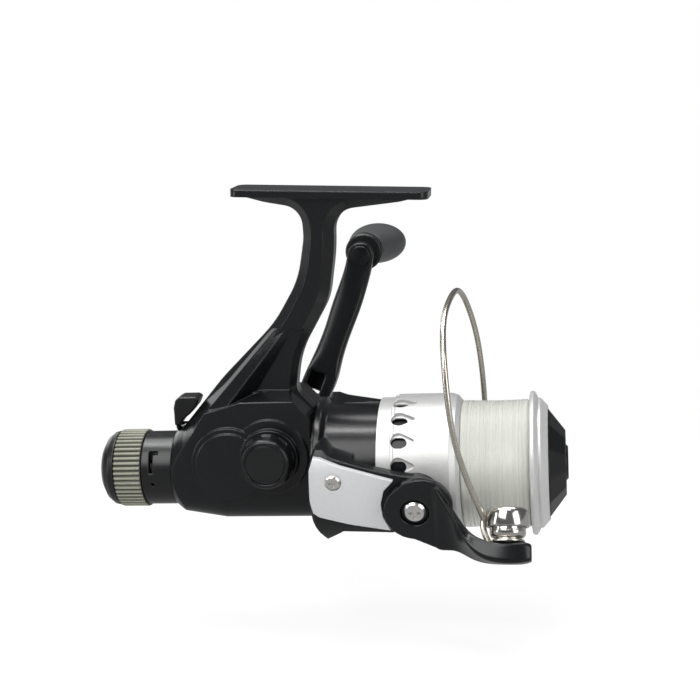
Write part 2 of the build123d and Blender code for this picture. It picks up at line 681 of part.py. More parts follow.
ratchet_teeth = 14
with BuildPart() as ratchet:
    pitch = radians(360 / ratchet_teeth)
    rim = []
    for tooth in range(ratchet_teeth):
        angle = tooth * pitch
        rim.append((ratchet_radius * cos(angle), ratchet_radius * sin(angle)))
        rim.append(((ratchet_radius - 1.3) * cos(angle + 0.08 * pitch),
                    (ratchet_radius - 1.3) * sin(angle + 0.08 * pitch)))
    slab(across(ratchet_rear), rim, ratchet_front - ratchet_rear)
    bar_x(ratchet_rear - 1, ratchet_front + 1, pinion_journal, mode=Mode.SUBTRACT)
save(ratchet, "ratchet")

rim_radius = 22.0
drum_bore = drum_radius - drum_wall
arm_rear = rotor_rear - 0.9
arm_step = 27.0                       # rear of the space beside the spool skirt


def arm_outline():
    """Side view of a rotor arm: wide at the rear, round about the bail pivot."""
    Polyline((arm_rear, -1.9), (rotor_rear - 0.6, -5.9), (15.5, -10.6), (17.4, -14.3), (23.1, -10.1),
             (32.8, -10.5), (38.1, -10.8), (bail_pivot_x, -9.0), (bail_pivot_x, 8.9), (42.1, 9.4),
             (33.0, 11.2), (23.8, 13.6), (20.8, 14.4), (18.3, 16.4), (16.0, 16.4), (arm_rear, 12.0),
             close=True)


def arm_ring():
    """Turned ring that both arms are cut from."""
    arm_end = bail_pivot_x + 12
    turned_x([(arm_rear, drum_radius - 1.0), (arm_rear, arm_outer_radius - 0.8),
              (arm_rear + 1.0, arm_outer_radius), (arm_end, arm_outer_radius), (arm_end, arm_inner_radius),
              (arm_step, arm_inner_radius), (arm_step, drum_radius - 1.0)], mode=Mode.INTERSECT)


spring_axis_y = 22.2                  # bail spring tunnel inside the lever-side arm
spring_rear = arm_rear + 1.6
spring_front = arm_step - 1.4
spring_tunnel = 2.3

with BuildPart() as arms:
    with BuildSketch(rotor_side.offset(-40)) as outlines:
        with BuildLine():
            arm_outline()
        make_face()
        with Locations((bail_pivot_x, 0)):
            Circle(bail_boss_radius - 0.3)
    extrude(outlines.sketch, amount=80)
    arm_ring()

with BuildPart() as rotor:
    turned_x([(rotor_rear, drum_bore), (rotor_rear, rim_radius), (rotor_rear + 1.8, rim_radius),
              (rotor_rear + 3.0, drum_radius), (drum_front - 0.6, drum_radius),
              (drum_front, drum_radius - 0.6), (drum_front, drum_bore), (web_front, drum_bore),
              (web_front, pinion_journal), (hub_rear, pinion_journal), (hub_rear, rotor_hub_radius),
              (web_rear, rotor_hub_radius), (web_rear, drum_bore)])
    add(arms.part)
    with BuildSketch(rotor_across(spring_rear)) as tunnel:
        with Locations((-spring_axis_y, 0)):
            Circle(spring_tunnel)
    extrude(tunnel.sketch, amount=spring_front - spring_rear, mode=Mode.SUBTRACT)
    with BuildSketch(rotor_side.offset(-40)) as pivot_bore:
        with Locations((bail_pivot_x, 0)):
            Circle(2.0)
    extrude(pivot_bore.sketch, amount=80, mode=Mode.SUBTRACT)
    for face in (1, -1):
        plane = Plane(origin=rotor_side.origin, x_dir=(1, 0, 0), z_dir=rotor_side.z_dir * face)
        with BuildSketch(plane.offset(20.6)) as cover_bore:
            with Locations((arm_screw_place[0], arm_screw_place[1] * face)):
                Circle(screw_radius)
        extrude(cover_bore.sketch, amount=20, mode=Mode.SUBTRACT)
save(rotor, "rotor")

coil_length = spring_front - spring_rear - 1.0
with BuildPart() as bail_spring:
    with BuildLine() as coil:
        Helix(pitch=coil_length / 7, height=coil_length, radius=1.75,
              center=rotor_point(spring_rear + 0.5, -spring_axis_y, 0), direction=(1, 0, 0))
    with BuildSketch(Plane(origin=coil.line @ 0, z_dir=coil.line % 0)) as wire:
        Circle(0.3)
    sweep(wire.sketch, path=coil.line)
save(bail_spring, "bail_spring")

with BuildPart() as rotor_nut:
    with BuildSketch(across(web_front)) as hexagon:
        RegularPolygon(6.2, 6)
    extrude(hexagon.sketch, amount=nut_front - web_front - 1.2)
    chamfer(edges().group_by(Axis.X)[-1], 0.5)
    bar_x(web_front - 1, nut_front + 1, pinion_journal, mode=Mode.SUBTRACT)
save(rotor_nut, "rotor_nut")

cover_outer = arm_outer_radius + arm_cover_thickness
arm_screw_seat = arm_outer_radius - 0.5
arm_screw_head = 2.4


def arm_cover(face):
    """Curved plate over a rotor arm; face is -1 on the lever side, 1 on the far side."""
    plane = Plane(origin=rotor_side.origin, x_dir=(1, 0, 0), z_dir=(0, face * rotor_y[1], face * rotor_y[2]))
    with BuildSketch(plane) as plate:
        with BuildLine():
            Polyline((15.6, 15.0), (14.4, 11.7), (14.2, 2.7), (14.9, -1.6), (16.7, -3.1), (25.7, -6.0),
                     (38.0, -8.7), (36.2, -3.2), (35.9, 1.5), (37.0, 5.7), (39.9, 8.6), (30.0, 11.1),
                     (23.9, 12.6), (17.8, 14.7), close=True)
        make_face()
        if face > 0:
            mirror(about=Plane.XZ, mode=Mode.REPLACE)
    extrude(plate.sketch, amount=40)
    turned_x([(10, arm_outer_radius), (10, cover_outer), (50, cover_outer), (50, arm_outer_radius)],
             mode=Mode.INTERSECT)
    for height, radius in ((20, screw_radius), (arm_screw_seat, arm_screw_head + 0.1)):
        with BuildSketch(plane.offset(height)) as bore:
            with Locations((arm_screw_place[0], -face * arm_screw_place[1])):
                Circle(radius)
        extrude(bore.sketch, amount=20, mode=Mode.SUBTRACT)


with BuildPart() as near_arm_cover:
    arm_cover(-1)
save(near_arm_cover, "near_arm_cover")
with BuildPart() as far_arm_cover:
    arm_cover(1)
save(far_arm_cover, "far_arm_cover")

with BuildPart() as arm_cover_screws:
    for face in (-1, 1):
        head_place = rotor_point(arm_screw_place[0], face * arm_screw_seat, arm_screw_place[1])
        seat = Plane(origin=head_place, x_dir=(1, 0, 0), z_dir=(0, face * rotor_y[1], face * rotor_y[2]))
        pan_head_screw(seat, arm_screw_head, 1.1, screw_radius, 4.0)
save(arm_cover_screws, "arm_cover_screws")

# ---------------------------------------------------------------- bail lever, wire and line roller
lever_inner = arm_outer_radius + face_gap
lever_outer = lever_inner + bail_boss_thickness - 0.4
roller_tilt = 51.0                    # degrees, roller axis below the bail pivot's direction
roller_slope = radians(roller_tilt + rotor_rest_angle)
roller_axis = (0, -cos(roller_slope), -sin(roller_slope))
roller_centre = rotor_point(roller_x, -31.0, -2.9)
roller_span = (-0.25, 4.35)           # the roller, along its axis from its middle plane
roller_radius = 5.4
roller_waist = 4.4
roller_bore = 1.6
wire_cap_span = (-4.7, -0.4)          # drum that the wire ends in
wire_cap_radius = 6.4
pin_head_radius = 2.9
lever_inner_at_roller = 5.45          # lever's inner face from the roller's middle
lever_front_half = 3.25
wire_radius = 0.9
wire_foot_x = 66.5
swing_reach = 60.0                    # covers both levers out to their tips


def roller_plane(distance):
    """Plane square to the roller axis: first axis forward; distance grows towards the lever."""
    return Plane(origin=roller_centre + Vector(*roller_axis) * distance, x_dir=(1, 0, 0), z_dir=roller_axis)


def roller_disc(start, end, radius, mode=Mode.ADD):
    """Round stretch on the roller axis."""
    with BuildSketch(roller_plane(start)) as disc:
        Circle(radius)
    extrude(disc.sketch, amount=end - start, mode=mode)


with BuildPart() as roller_pin:
    roller_disc(wire_cap_span[0] + 0.9, lever_inner_at_roller + 3.4, roller_bore)
    roller_disc(wire_cap_span[0] + 0.2, wire_cap_span[0] + 1.0, pin_head_radius)
save(roller_pin, "roller_pin")

with BuildPart() as line_roller:
    roller_disc(*roller_span, roller_waist)
    for start, turn in ((roller_span[0], 1), (roller_span[1], -1)):
        roller_disc(start, start + 0.6 * turn, roller_radius)
        with BuildSketch(roller_plane(start + 0.6 * turn)) as flare:
            Circle(roller_radius)
        extrude(flare.sketch, amount=turn, taper=42)
    roller_disc(-10, 10, roller_bore + running_gap, mode=Mode.SUBTRACT)
save(line_roller, "line_roller")

with BuildPart() as roller_washer:
    roller_disc(roller_span[1] + 0.05, lever_inner_at_roller, 5.0)
    roller_disc(0, 10, roller_bore, mode=Mode.SUBTRACT)
save(roller_washer, "roller_washer")

lever_centre = lever_inner_at_roller + lever_front_half
front_y = -31.0 - lever_centre * cos(radians(roller_tilt))
front_z = -2.9 - lever_centre * sin(radians(roller_tilt))
base_y = -(lever_inner + lever_outer) / 2
base_thick = lever_outer - lever_inner
blade_sections = (                    # x, y, z of the middle, thickness, width, twist
    (52.0, base_y, -1.4, base_thick, 23.0, 0),
    (56.5, base_y - 0.9, -5.0, 4.4, 18.0, 10),
    (61.0, base_y - 3.4, -8.6, 5.4, 11.4, 26),
    (66.0, front_y + 1.4, front_z, 6.0, 8.6, 42),
    (71.0, front_y, front_z, 2 * lever_front_half, 8.0, roller_tilt),
    (78.0, front_y, front_z, 2 * lever_front_half, 7.6, roller_tilt),
    (81.0, front_y, front_z, 5.0, 5.6, roller_tilt),
)


def swing_relief(face):
    """Cut that lets a bail lever swing over its arm cover; face is -1 on the lever side."""
    relief = Plane(origin=rotor_side.origin, x_dir=(1, 0, 0), z_dir=(0, face * rotor_y[1], face * rotor_y[2]))
    with BuildSketch(relief.offset(lever_inner - 1)) as ring:
        with Locations((bail_pivot_x, 0)):
            Circle(swing_reach)
            Circle(bail_boss_radius + 0.8, mode=Mode.SUBTRACT)
    extrude(ring.sketch, amount=cover_outer + face_gap - lever_inner + 1, mode=Mode.SUBTRACT)


with BuildPart() as bail_lever:
    for x, y, z, thick, width, twist in blade_sections:
        with BuildSketch(rotor_across(x)):
            with Locations((y, z)):
                RectangleRounded(thick, width, 1.3, rotation=twist)
    loft()
    with BuildSketch(rotor_side.offset(lever_inner)) as boss:
        with BuildLine():
            Polyline((bail_pivot_x - 4, 8.4), (bail_pivot_x + 1, 10.8), (52.2, 9.8), (52.2, -12.6),
                     (bail_pivot_x - 1, -9.2), close=True)
        make_face()
        with Locations((bail_pivot_x, 0)):
            Circle(bail_boss_radius)
        with Locations((bail_pivot_x + 2.3, 1.9)):
            Circle(bail_boss_radius)
    extrude(boss.sketch, amount=base_thick)
    with BuildSketch(rotor_side.offset(lever_outer)) as recess:
        with Locations((bail_pivot_x, 0)):
            Circle(4.3)
    extrude(recess.sketch, amount=-1.6, mode=Mode.SUBTRACT)
    with BuildSketch(rotor_side.offset(lever_inner - 1)) as pivot:
        with Locations((bail_pivot_x, 0)):
            Circle(2.0 + running_gap)
    extrude(pivot.sketch, amount=10, mode=Mode.SUBTRACT)
    swing_relief(-1)
    roller_disc(-8, lever_inner_at_roller, wire_cap_radius + 0.1, mode=Mode.SUBTRACT)
    roller_disc(0, lever_inner_at_roller + 3.4, roller_bore, mode=Mode.SUBTRACT)
save(bail_lever, "bail_lever")

wire_points = (                       # forward, along the bail pivots, across
    (67.0, -31.0, -1.3), (66.3, -31.0, 1.2), (64.5, -31.0, 6.7), (62.3, -30.8, 13.7), (60.1, -30.2, 22.4),
    (58.9, -29.1, 29.5), (58.2, -27.1, 37.3), (57.7, -24.0, 44.4), (57.2, -19.4, 50.5), (57.0, -11.0, 55.4),
    (58.0, -0.4, 56.5), (59.3, 10.5, 55.4), (60.4, 19.0, 50.4), (61.6, 24.2, 43.6), (62.9, 27.4, 36.0),
    (63.9, 29.5, 27.4), (64.5, 30.6, 17.4), (64.7, 31.0, 8.2), (64.7, 31.05, 1.6),
)


def wire_radii(points):
    """Largest tangent arcs that the runs on both sides of each point allow."""
    radii = []
    for before, corner, after in zip(points, points[1:], points[2:]):
        run_in = corner - before
        run_out = after - corner
        half_turn = radians(run_in.get_angle(run_out)) / 2
        radii.append(0.45 * min(run_in.length, run_out.length) / tan(half_turn))
    return radii


route = [rotor_point(*point) for point in wire_points]
with BuildPart() as bail_wire:
    with BuildLine() as wire_path:
        FilletPolyline(*route, radius=wire_radii(route))
    route_wire = wire_path.wires()[0]
    with BuildSketch(Plane(origin=route_wire @ 0, z_dir=route_wire % 0)) as wire_end:
        Circle(wire_radius)
    sweep(wire_end.sketch, path=route_wire)
save(bail_wire, "bail_wire")

far_front_x = 62.8
with BuildPart() as bail_far_lever:
    with BuildSketch(rotor_side.offset(-lever_inner)) as far_plate:
        with BuildLine():
            Polyline((bail_pivot_x, bail_boss_radius - 1.0), (far_front_x, 5.4), (far_front_x + 1.6, 3.0),
                     (far_front_x + 1.6, -2.4), (far_front_x, -3.6), (bail_pivot_x, 1.0 - bail_boss_radius),
                     close=True)
        make_face()
        with Locations((bail_pivot_x, 0)):
            Circle(bail_boss_radius - 1.0)
    extrude(far_plate.sketch, amount=-base_thick)
    with BuildSketch(rotor_side.offset(-lever_inner - 1.6)) as wire_socket:
        with Locations((far_front_x + 1.8, 0.6)):
            RectangleRounded(5.6, 6.6, 1.4)
    extrude(wire_socket.sketch, amount=-6.6)
    chamfer(edges().group_by(Axis((0, 0, 0), rotor_y))[-1], 0.6)
    with BuildSketch(rotor_side.offset(-lever_outer)) as recess:
        with Locations((bail_pivot_x, 0)):
            Circle(4.3)
    extrude(recess.sketch, amount=1.6, mode=Mode.SUBTRACT)
    with BuildSketch(rotor_side.offset(-lever_inner + 1)) as pivot:
        with Locations((bail_pivot_x, 0)):
            Circle(2.0 + running_gap)
    extrude(pivot.sketch, amount=-10, mode=Mode.SUBTRACT)
    swing_relief(1)
    add(bail_wire.part, mode=Mode.SUBTRACT)
save(bail_far_lever, "bail_far_lever")

with BuildPart() as wire_bracket:
    strut_top = wire_cap_span[0] + 0.6
    with BuildSketch(roller_plane(strut_top)) as strut:
        with Locations((wire_foot_x - roller_x, -0.6)):
            RectangleRounded(2.4, 5.6, 0.8)
    extrude(strut.sketch, amount=lever_inner_at_roller + 1.5 - strut_top)
    with BuildSketch(roller_plane(strut_top)) as link:
        with Locations(((wire_foot_x - roller_x) / 2, 0)):
            Rectangle(roller_x - wire_foot_x, 4.4)
    extrude(link.sketch, amount=wire_cap_span[1] - strut_top)
    roller_disc(*wire_cap_span, wire_cap_radius - 0.4)
    roller_disc(wire_cap_span[0] + 0.5, wire_cap_span[1] - 0.4, wire_cap_radius)
    add(bail_lever.part, mode=Mode.SUBTRACT)
    add(bail_wire.part, mode=Mode.SUBTRACT)
    roller_disc(-10, 10, roller_bore, mode=Mode.SUBTRACT)
    roller_disc(wire_cap_span[0] - 1, wire_cap_span[0] + 1.0, pin_head_radius, mode=Mode.SUBTRACT)
save(wire_bracket, "wire_bracket")

with BuildPart() as bail_pivot_screws:
    for face in (-1, 1):
        seat = Plane(origin=rotor_point(bail_pivot_x, face * (lever_outer - 1.6 + 0.05), 0), x_dir=(1, 0, 0),
                     z_dir=(0, face * rotor_y[1], face * rotor_y[2]))
        pan_head_screw(seat, 3.4, 1.5, 2.0, lever_outer - 1.55 - arm_inner_radius - 0.2)
save(bail_pivot_screws, "bail_pivot_screws")


# ---------------------------------------------------------------- main shaft, slider and spool
slider_half = 4.0
clip_thickness = 0.8
clip_radius = 2.7
plate_rear_y = -4.8
plate_front_y = -2.8
slot_half = 1.2 + 0.1
slot_top = osc_height + osc_pin_radius
slot_bottom = osc_height - osc_pin_radius
slot_wall = 1.3
slot_lean = tan(radians(osc_slot_slant))
spool_wall_front = line_front + 0.1
cap_seat = line_front + 5.5
button_face = 92.0
shaft_front = 86.0
shaft_rear = -47.0
flat_half = 1.5


slider_rear = slider_x - slider_half
slider_front = slider_x + slider_half


def slot_x(z):
    """Middle of the slider's slanted slot at height z."""
    return slider_x - (z - osc_height) * slot_lean


def slanted_slot(half, mode=Mode.ADD):
    """Round-ended stretch of the slider plate along its slot, half wide on either side."""
    with BuildSketch(side.offset(-plate_front_y)) as stretch:
        for z in (slot_bottom, slot_top):
            with Locations((slot_x(z), z)):
                Circle(half)
        make_hull()
    extrude(stretch.sketch, amount=plate_front_y - plate_rear_y, mode=mode)


with BuildPart() as slider:
    slab(side.offset(-3.2), [(slider_rear, -3.6), (slider_front, -3.6), (slider_front, 3.6),
                             (slider_rear, 3.6)], 3.2 - plate_front_y)
    with Locations((x0 + slider_x, 0, z0 + (guide_z - 3.6) / 2)):
        Box(2 * slider_half, 5.2, 3.6 - guide_z)
    with BuildSketch(across(slider_rear - 1)) as rod_bore:
        with Locations((0, guide_z)):
            Circle(guide_radius + running_gap)
    extrude(rod_bore.sketch, amount=2 * slider_half + 2, mode=Mode.SUBTRACT)
    bar_x(slider_rear - 1, slider_front + 1, shaft_radius + running_gap, mode=Mode.SUBTRACT)
    with Locations((x0 + slider_x, 0, z0 + guide_z - 10 - guide_radius - 1.2)):
        Box(40, 40, 20, mode=Mode.SUBTRACT)
save(slider, "slider")

with BuildPart() as slider_plate:
    slanted_slot(slot_half + slot_wall)
    slab(side.offset(-plate_front_y), [(slider_rear, -3.4), (slider_front, -3.4), (slider_front, 2.4),
                                       (slider_rear, 2.4)], plate_front_y - plate_rear_y)
    slanted_slot(slot_half, mode=Mode.SUBTRACT)
save(slider_plate, "slider_plate")

with BuildPart() as shaft_clips:
    for x in (slider_rear - 0.1 - clip_thickness, slider_front + 0.1):
        turned_x([(x, shaft_radius), (x, clip_radius), (x + clip_thickness, clip_radius),
                  (x + clip_thickness, shaft_radius)])
save(shaft_clips, "shaft_clips")

with BuildPart() as main_shaft:
    bar_x(shaft_rear, shaft_front, shaft_radius)
    chamfer(edges().group_by(Axis.X)[0], 0.3)
    for face in (1, -1):
        with Locations((x0 + (shaft_rear + slider_rear - 2) / 2, 0, z0 + face * (flat_half + 1))):
            Box(slider_rear - 2 - shaft_rear, 6, 2, mode=Mode.SUBTRACT)
save(main_shaft, "main_shaft")

vent_first = 15.0                     # degrees above the horizontal, on the lever side
vent_pitch = 20.0
vent_rear = skirt_rear + 7.0
vent_radius = 2.65
vent_tip = skirt_rear + 11.2
vent_depth = 1.3


def vent_plane(angle, radius):
    """Plane laid on the spool skirt at an angle above the horizontal."""
    normal = (0, -cos(radians(angle)), sin(radians(angle)))
    return Plane(origin=Vector(x0, 0, z0) + Vector(*normal) * radius, x_dir=(1, 0, 0), z_dir=normal)


vent_angles = [vent_first + group * 360 / vent_groups + place * vent_pitch
               for group in range(vent_groups) for place in range(vents_in_group)]
with BuildPart() as vents:
    for angle in vent_angles:
        with BuildSketch(vent_plane(angle, skirt_radius + 0.2)) as tear:
            with Locations((vent_rear, 0)):
                Circle(vent_radius)
            with Locations((vent_tip, 0)):
                Circle(0.7)
            make_hull()
        extrude(tear.sketch, amount=-vent_depth - 0.2, taper=12)
        with BuildSketch(vent_plane(angle, skirt_bore - 1)) as hole:
            with Locations((vent_rear, -0.3)):
                SlotCenterToCenter(1.5, 3.4)
        extrude(hole.sketch, amount=3)

with BuildPart() as spool:
    turned_x([
        (skirt_rear, skirt_bore), (skirt_rear, skirt_radius - 1.0), (skirt_rear + 4.2, skirt_radius - 1.0),
        (skirt_rear + 4.4, skirt_radius - 0.5), (skirt_rear + 5.2, skirt_radius - 0.5),
        (skirt_rear + 5.5, skirt_radius), (line_rear - 2.9, skirt_radius),
        (line_rear - 1.2, skirt_radius - 0.7), (line_rear - 0.1, line_radius + 0.2),
        (line_rear, line_radius + 0.2), (line_rear, arbor_radius), (line_front, arbor_radius),
        (line_front, lip_radius - 0.9), (spool_wall_front + 0.1, lip_radius - 0.2),
        (spool_wall_front + 0.6, lip_radius), (spool_wall_front + 1.2, lip_radius),
        (spool_wall_front + 1.8, lip_radius - 0.7), (cap_seat - 3.0, skirt_bore),
        (cap_seat - 3.0, shaft_radius), (line_rear, shaft_radius), (line_rear, 5.0),
        (cap_seat - 6.0, 5.0), (cap_seat - 6.0, arbor_radius - 1.5), (line_rear - 2.4, arbor_radius - 1.5),
        (line_rear - 2.4, skirt_bore),
    ])
    add(vents.part, mode=Mode.SUBTRACT)
save(spool, "spool")

with BuildPart() as wound_line:
    turned_x([(line_rear, arbor_radius), (line_rear, line_radius - 0.5), (line_rear + 0.8, line_radius),
              (line_front - 0.8, line_radius), (line_front, line_radius - 0.5), (line_front, arbor_radius)])
save(wound_line, "wound_line")

ring_rear = cap_seat - 3.0
with BuildPart() as spool_front_ring:
    turned_x([(ring_rear, 15.0), (ring_rear, 20.3), (ring_rear + 0.8, 20.3), (cap_seat, 17.9),
              (cap_seat, 15.0)])
save(spool_front_ring, "spool_front_ring")

button_bore = 5.6
button_travel = 1.6
cap_facets = 12
cap_base_radius = 17.4
cap_front_radius = 10.6
cap_depth = button_face - 0.7 - cap_seat
cap_taper = degrees(atan2(cap_base_radius - cap_front_radius, cap_depth))
with BuildPart() as spool_cap:
    with BuildSketch(across(cap_seat)) as base:
        RegularPolygon(cap_base_radius, cap_facets)
    extrude(base.sketch, amount=cap_depth, taper=cap_taper)
    bar_x(ring_rear, cap_seat, 15.0)
    bar_x(ring_rear + 1.6, cap_seat + 10, button_bore + running_gap, mode=Mode.SUBTRACT)
    bar_x(ring_rear - 1, ring_rear + 2, shaft_radius, mode=Mode.SUBTRACT)
save(spool_cap, "spool_cap")

with BuildPart() as spool_button:
    turned_x([(shaft_front + button_travel + 0.4, 0), (shaft_front + button_travel + 0.4, button_bore),
              (button_face - 0.6, button_bore), (button_face, button_bore - 0.6), (button_face, 0)])
save(spool_button, "spool_button")

with BuildPart() as button_spring:
    turned_x([(ring_rear + 1.6, 3.4), (ring_rear + 1.6, 4.6), (shaft_front + face_gap, 4.6),
              (shaft_front + face_gap, 3.4)])
save(button_spring, "button_spring")

# ---------------------------------------------------------------- rear drag
barrel_bore = 9.2
sleeve_front = cavity_rear - 0.2
sleeve_rear = -49.0
washer_thickness = 1.0
washer_step = washer_thickness + 0.06
stack_front = body_rear - 1.0

with BuildPart() as drag_barrel:
    turned_x([(body_rear, sleeve_radius + 1.0), (body_rear, drag_barrel_radius),
              (drag_barrel_rear, drag_barrel_radius), (drag_barrel_rear, barrel_bore),
              (stack_front, barrel_bore), (stack_front, sleeve_radius + 1.0)])
    with BuildSketch(side.offset(8)) as slot:
        with Locations((-39.9, 4.6)):
            Rectangle(1.3, 6.6)
        with Locations((-38.9, 7.4)):
            Rectangle(2.4, 1.1)
        with Locations((-39.5, -2.3)):
            Circle(0.6)
    extrude(slot.sketch, amount=8, mode=Mode.SUBTRACT)
    for face in (1, -1):
        with Locations((x0 + stack_front - 5 * washer_step / 2, 0, z0 + face * barrel_bore)):
            Box(5 * washer_step + 0.4, 3.2, 1.8, mode=Mode.SUBTRACT)
save(drag_barrel, "drag_barrel")


def washer(place, inner, outer):
    """One washer of the drag stack, counted from the barrel's front wall."""
    front = stack_front - 0.03 - place * washer_step
    turned_x([(front, inner), (front, outer), (front - washer_thickness, outer),
              (front - washer_thickness, inner)])
    return front


with BuildPart() as eared_washers:
    for place in (0, 2, 4):
        front = washer(place, sleeve_radius + 0.5, barrel_bore - 0.1)
        with Locations((x0 + front - washer_thickness / 2, 0, z0)):
            Box(washer_thickness, 3.0, 2 * barrel_bore + 1.4)
        bar_x(front - 2, front + 1, sleeve_radius + 0.5, mode=Mode.SUBTRACT)
save(eared_washers, "eared_washers")

with BuildPart() as drag_discs:
    for place in (1, 3):
        washer(place, sleeve_radius, barrel_bore - 0.6)
save(drag_discs, "drag_discs")

with BuildPart() as drag_sleeve:
    bar_x(sleeve_rear, sleeve_front, sleeve_radius)
    with BuildSketch(across(sleeve_rear - 1)) as keyway:
        Circle(shaft_radius + running_gap)
        Rectangle(6, 2 * (flat_half + running_gap), mode=Mode.INTERSECT)
    extrude(keyway.sketch, amount=sleeve_front - sleeve_rear + 2, mode=Mode.SUBTRACT)
save(drag_sleeve, "drag_sleeve")

nut_travel = 0.5
spring_start = stack_front - 0.03 - 5 * washer_step - nut_travel - 0.1
nut_front_x = -43.6
nut_rear_x = -46.4
drag_coil_length = spring_start - nut_front_x - 1.0
with BuildPart() as drag_spring:
    with BuildLine() as drag_coil:
        Helix(pitch=drag_coil_length / 3, height=drag_coil_length, radius=6.6,
              center=(x0 + nut_front_x + 0.5, 0, z0), direction=(1, 0, 0))
    with BuildSketch(Plane(origin=drag_coil.line @ 0, z_dir=drag_coil.line % 0)) as wire:
        Circle(0.45)
    sweep(wire.sketch, path=drag_coil.line)
save(drag_spring, "drag_spring")

thread_radius = 7.4
with BuildPart() as pressure_nut:
    turned_x([(nut_rear_x, sleeve_radius + 0.5), (nut_rear_x, thread_radius), (nut_front_x, thread_radius),
              (nut_front_x, sleeve_radius + 0.5)])
save(pressure_nut, "pressure_nut")

knob_front = drag_barrel_rear - face_gap
grip_rear = -52.5
core_radius = drag_knob_radius - 1.6
with BuildPart() as drag_knob_core:
    turned_x([(knob_front, thread_radius + running_gap), (knob_front, core_radius), (grip_rear, core_radius),
              (grip_rear, drag_knob_radius - 0.4), (grip_rear - 1.8, drag_knob_radius - 0.8),
              (grip_rear - 3.6, drag_knob_radius - 2.2), (grip_rear - 5.0, drag_knob_radius - 4.6),
              (drag_knob_end + 0.1, 4.8), (drag_knob_end, 3.0), (drag_knob_end, 0), (drag_knob_end + 4.0, 0),
              (drag_knob_end + 4.0, 5.0), (nut_rear_x - nut_travel - 0.3, 5.0),
              (nut_rear_x - nut_travel - 0.3, thread_radius + running_gap)])
save(drag_knob_core, "drag_knob_core")

rib_count = 48
with BuildPart() as drag_knob_grip:
    turned_x([(knob_front, core_radius), (knob_front, drag_knob_radius - 0.2),
              (knob_front - 0.4, drag_knob_radius), (grip_rear + 0.4, drag_knob_radius),
              (grip_rear, drag_knob_radius - 0.3), (grip_rear, core_radius)])
    with BuildSketch(across(grip_rear + 0.5)) as grooves:
        with PolarLocations(drag_knob_radius, rib_count):
            Rectangle(1.3, 0.8)
    extrude(grooves.sketch, amount=knob_front - grip_rear - 1.6, mode=Mode.SUBTRACT)
save(drag_knob_grip, "drag_knob_grip")

# ---------------------------------------------------------------- anti-reverse lever, rod and pawl
lever_half = 3.4
lever_hub_front = -31.5
rod_front = ratchet_front - 0.4
pawl_rear = ratchet_rear + 0.1
pawl_front = rod_front - 0.1


def parallel_bar(x_from, x_to, place, radius, mode=Mode.ADD):
    """Round bar or bore beside the shaft line; place is (across, above)."""
    with BuildSketch(across(x_from)) as end:
        with Locations(place):
            Circle(radius)
    extrude(end.sketch, amount=x_to - x_from, mode=mode)


with BuildPart() as anti_reverse_lever:
    with BuildSketch(side.offset(-lever_half)) as pad:
        with BuildLine():
            Polyline((-33.1, 20.5), (-32.3, 23.2), (-30.6, 24.2), (-25.4, 24.2), (-24.4, 23.3), (-25.3, 21.2),
                     (-27.6, 18.6), (-30.2, 16.6), (lever_hub_front, 14.8), (-33.1, 14.8), close=True)
        make_face()
    extrude(pad.sketch, amount=2 * lever_half)
    fillet(edges().filter_by(Axis.Z), 0.5)
    for number in range(5):
        with Locations((x0 - 33.2 + 0.28 * number, 0, z0 + 18.4 + 1.0 * number)):
            Box(0.9, 2 * lever_half + 1, 0.4, mode=Mode.SUBTRACT)
    parallel_bar(-33.1, lever_hub_front, (0, lever_rod_z), 1.9)
    parallel_bar(-34, -30, (0, lever_rod_z), lever_rod_radius, mode=Mode.SUBTRACT)
save(anti_reverse_lever, "anti_reverse_lever")

with BuildPart() as reverse_rod:
    parallel_bar(-33.1, rod_front, (0, lever_rod_z), lever_rod_radius)
    with Locations((x0 + (pawl_rear + rod_front) / 2, -1.7, z0 + lever_rod_z)):
        Box(rod_front - pawl_rear, 3.4, 1.4)
save(reverse_rod, "reverse_rod")

with BuildPart() as pawl:
    slab(across(pawl_rear), [(-8.6, 10.4), (-1.6, 9.2), (-0.8, 10.3), (-3.0, 11.6), (-7.4, 14.0)],
         pawl_front - pawl_rear)
    parallel_bar(pawl_rear, pawl_front, pawl_pivot, 1.9)
    parallel_bar(pawl_rear - 1, pawl_front + 1, pawl_pivot, pawl_pin_radius + running_gap, mode=Mode.SUBTRACT)
save(pawl, "pawl")

with BuildPart() as pawl_pin:
    parallel_bar(body_front + 0.8, pawl_front + 0.4, pawl_pivot, pawl_pin_radius)
save(pawl_pin, "pawl_pin")
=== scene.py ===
# %% [markdown]
# # A spinning reel, dressed in Blender
#
# The reel's shapes come from its CAD model, which is loaded as a fixed frame. This lesson gives
# each moulding, casting and wire the finish of the real thing, and models again the few pieces
# that a solid modeller leaves too plain: the wound line, the bail's wire with its cap and roller,
# the ribbed grip, and the levers, arm and knob with their soft edges.
# Lengths are in metres. The spool's shaft runs along X and the crank along Y.

# %% Load the frame
import json
from math import cos, hypot, pi, radians, sin

import bmesh
import bpy
from mathutils import Matrix, Vector


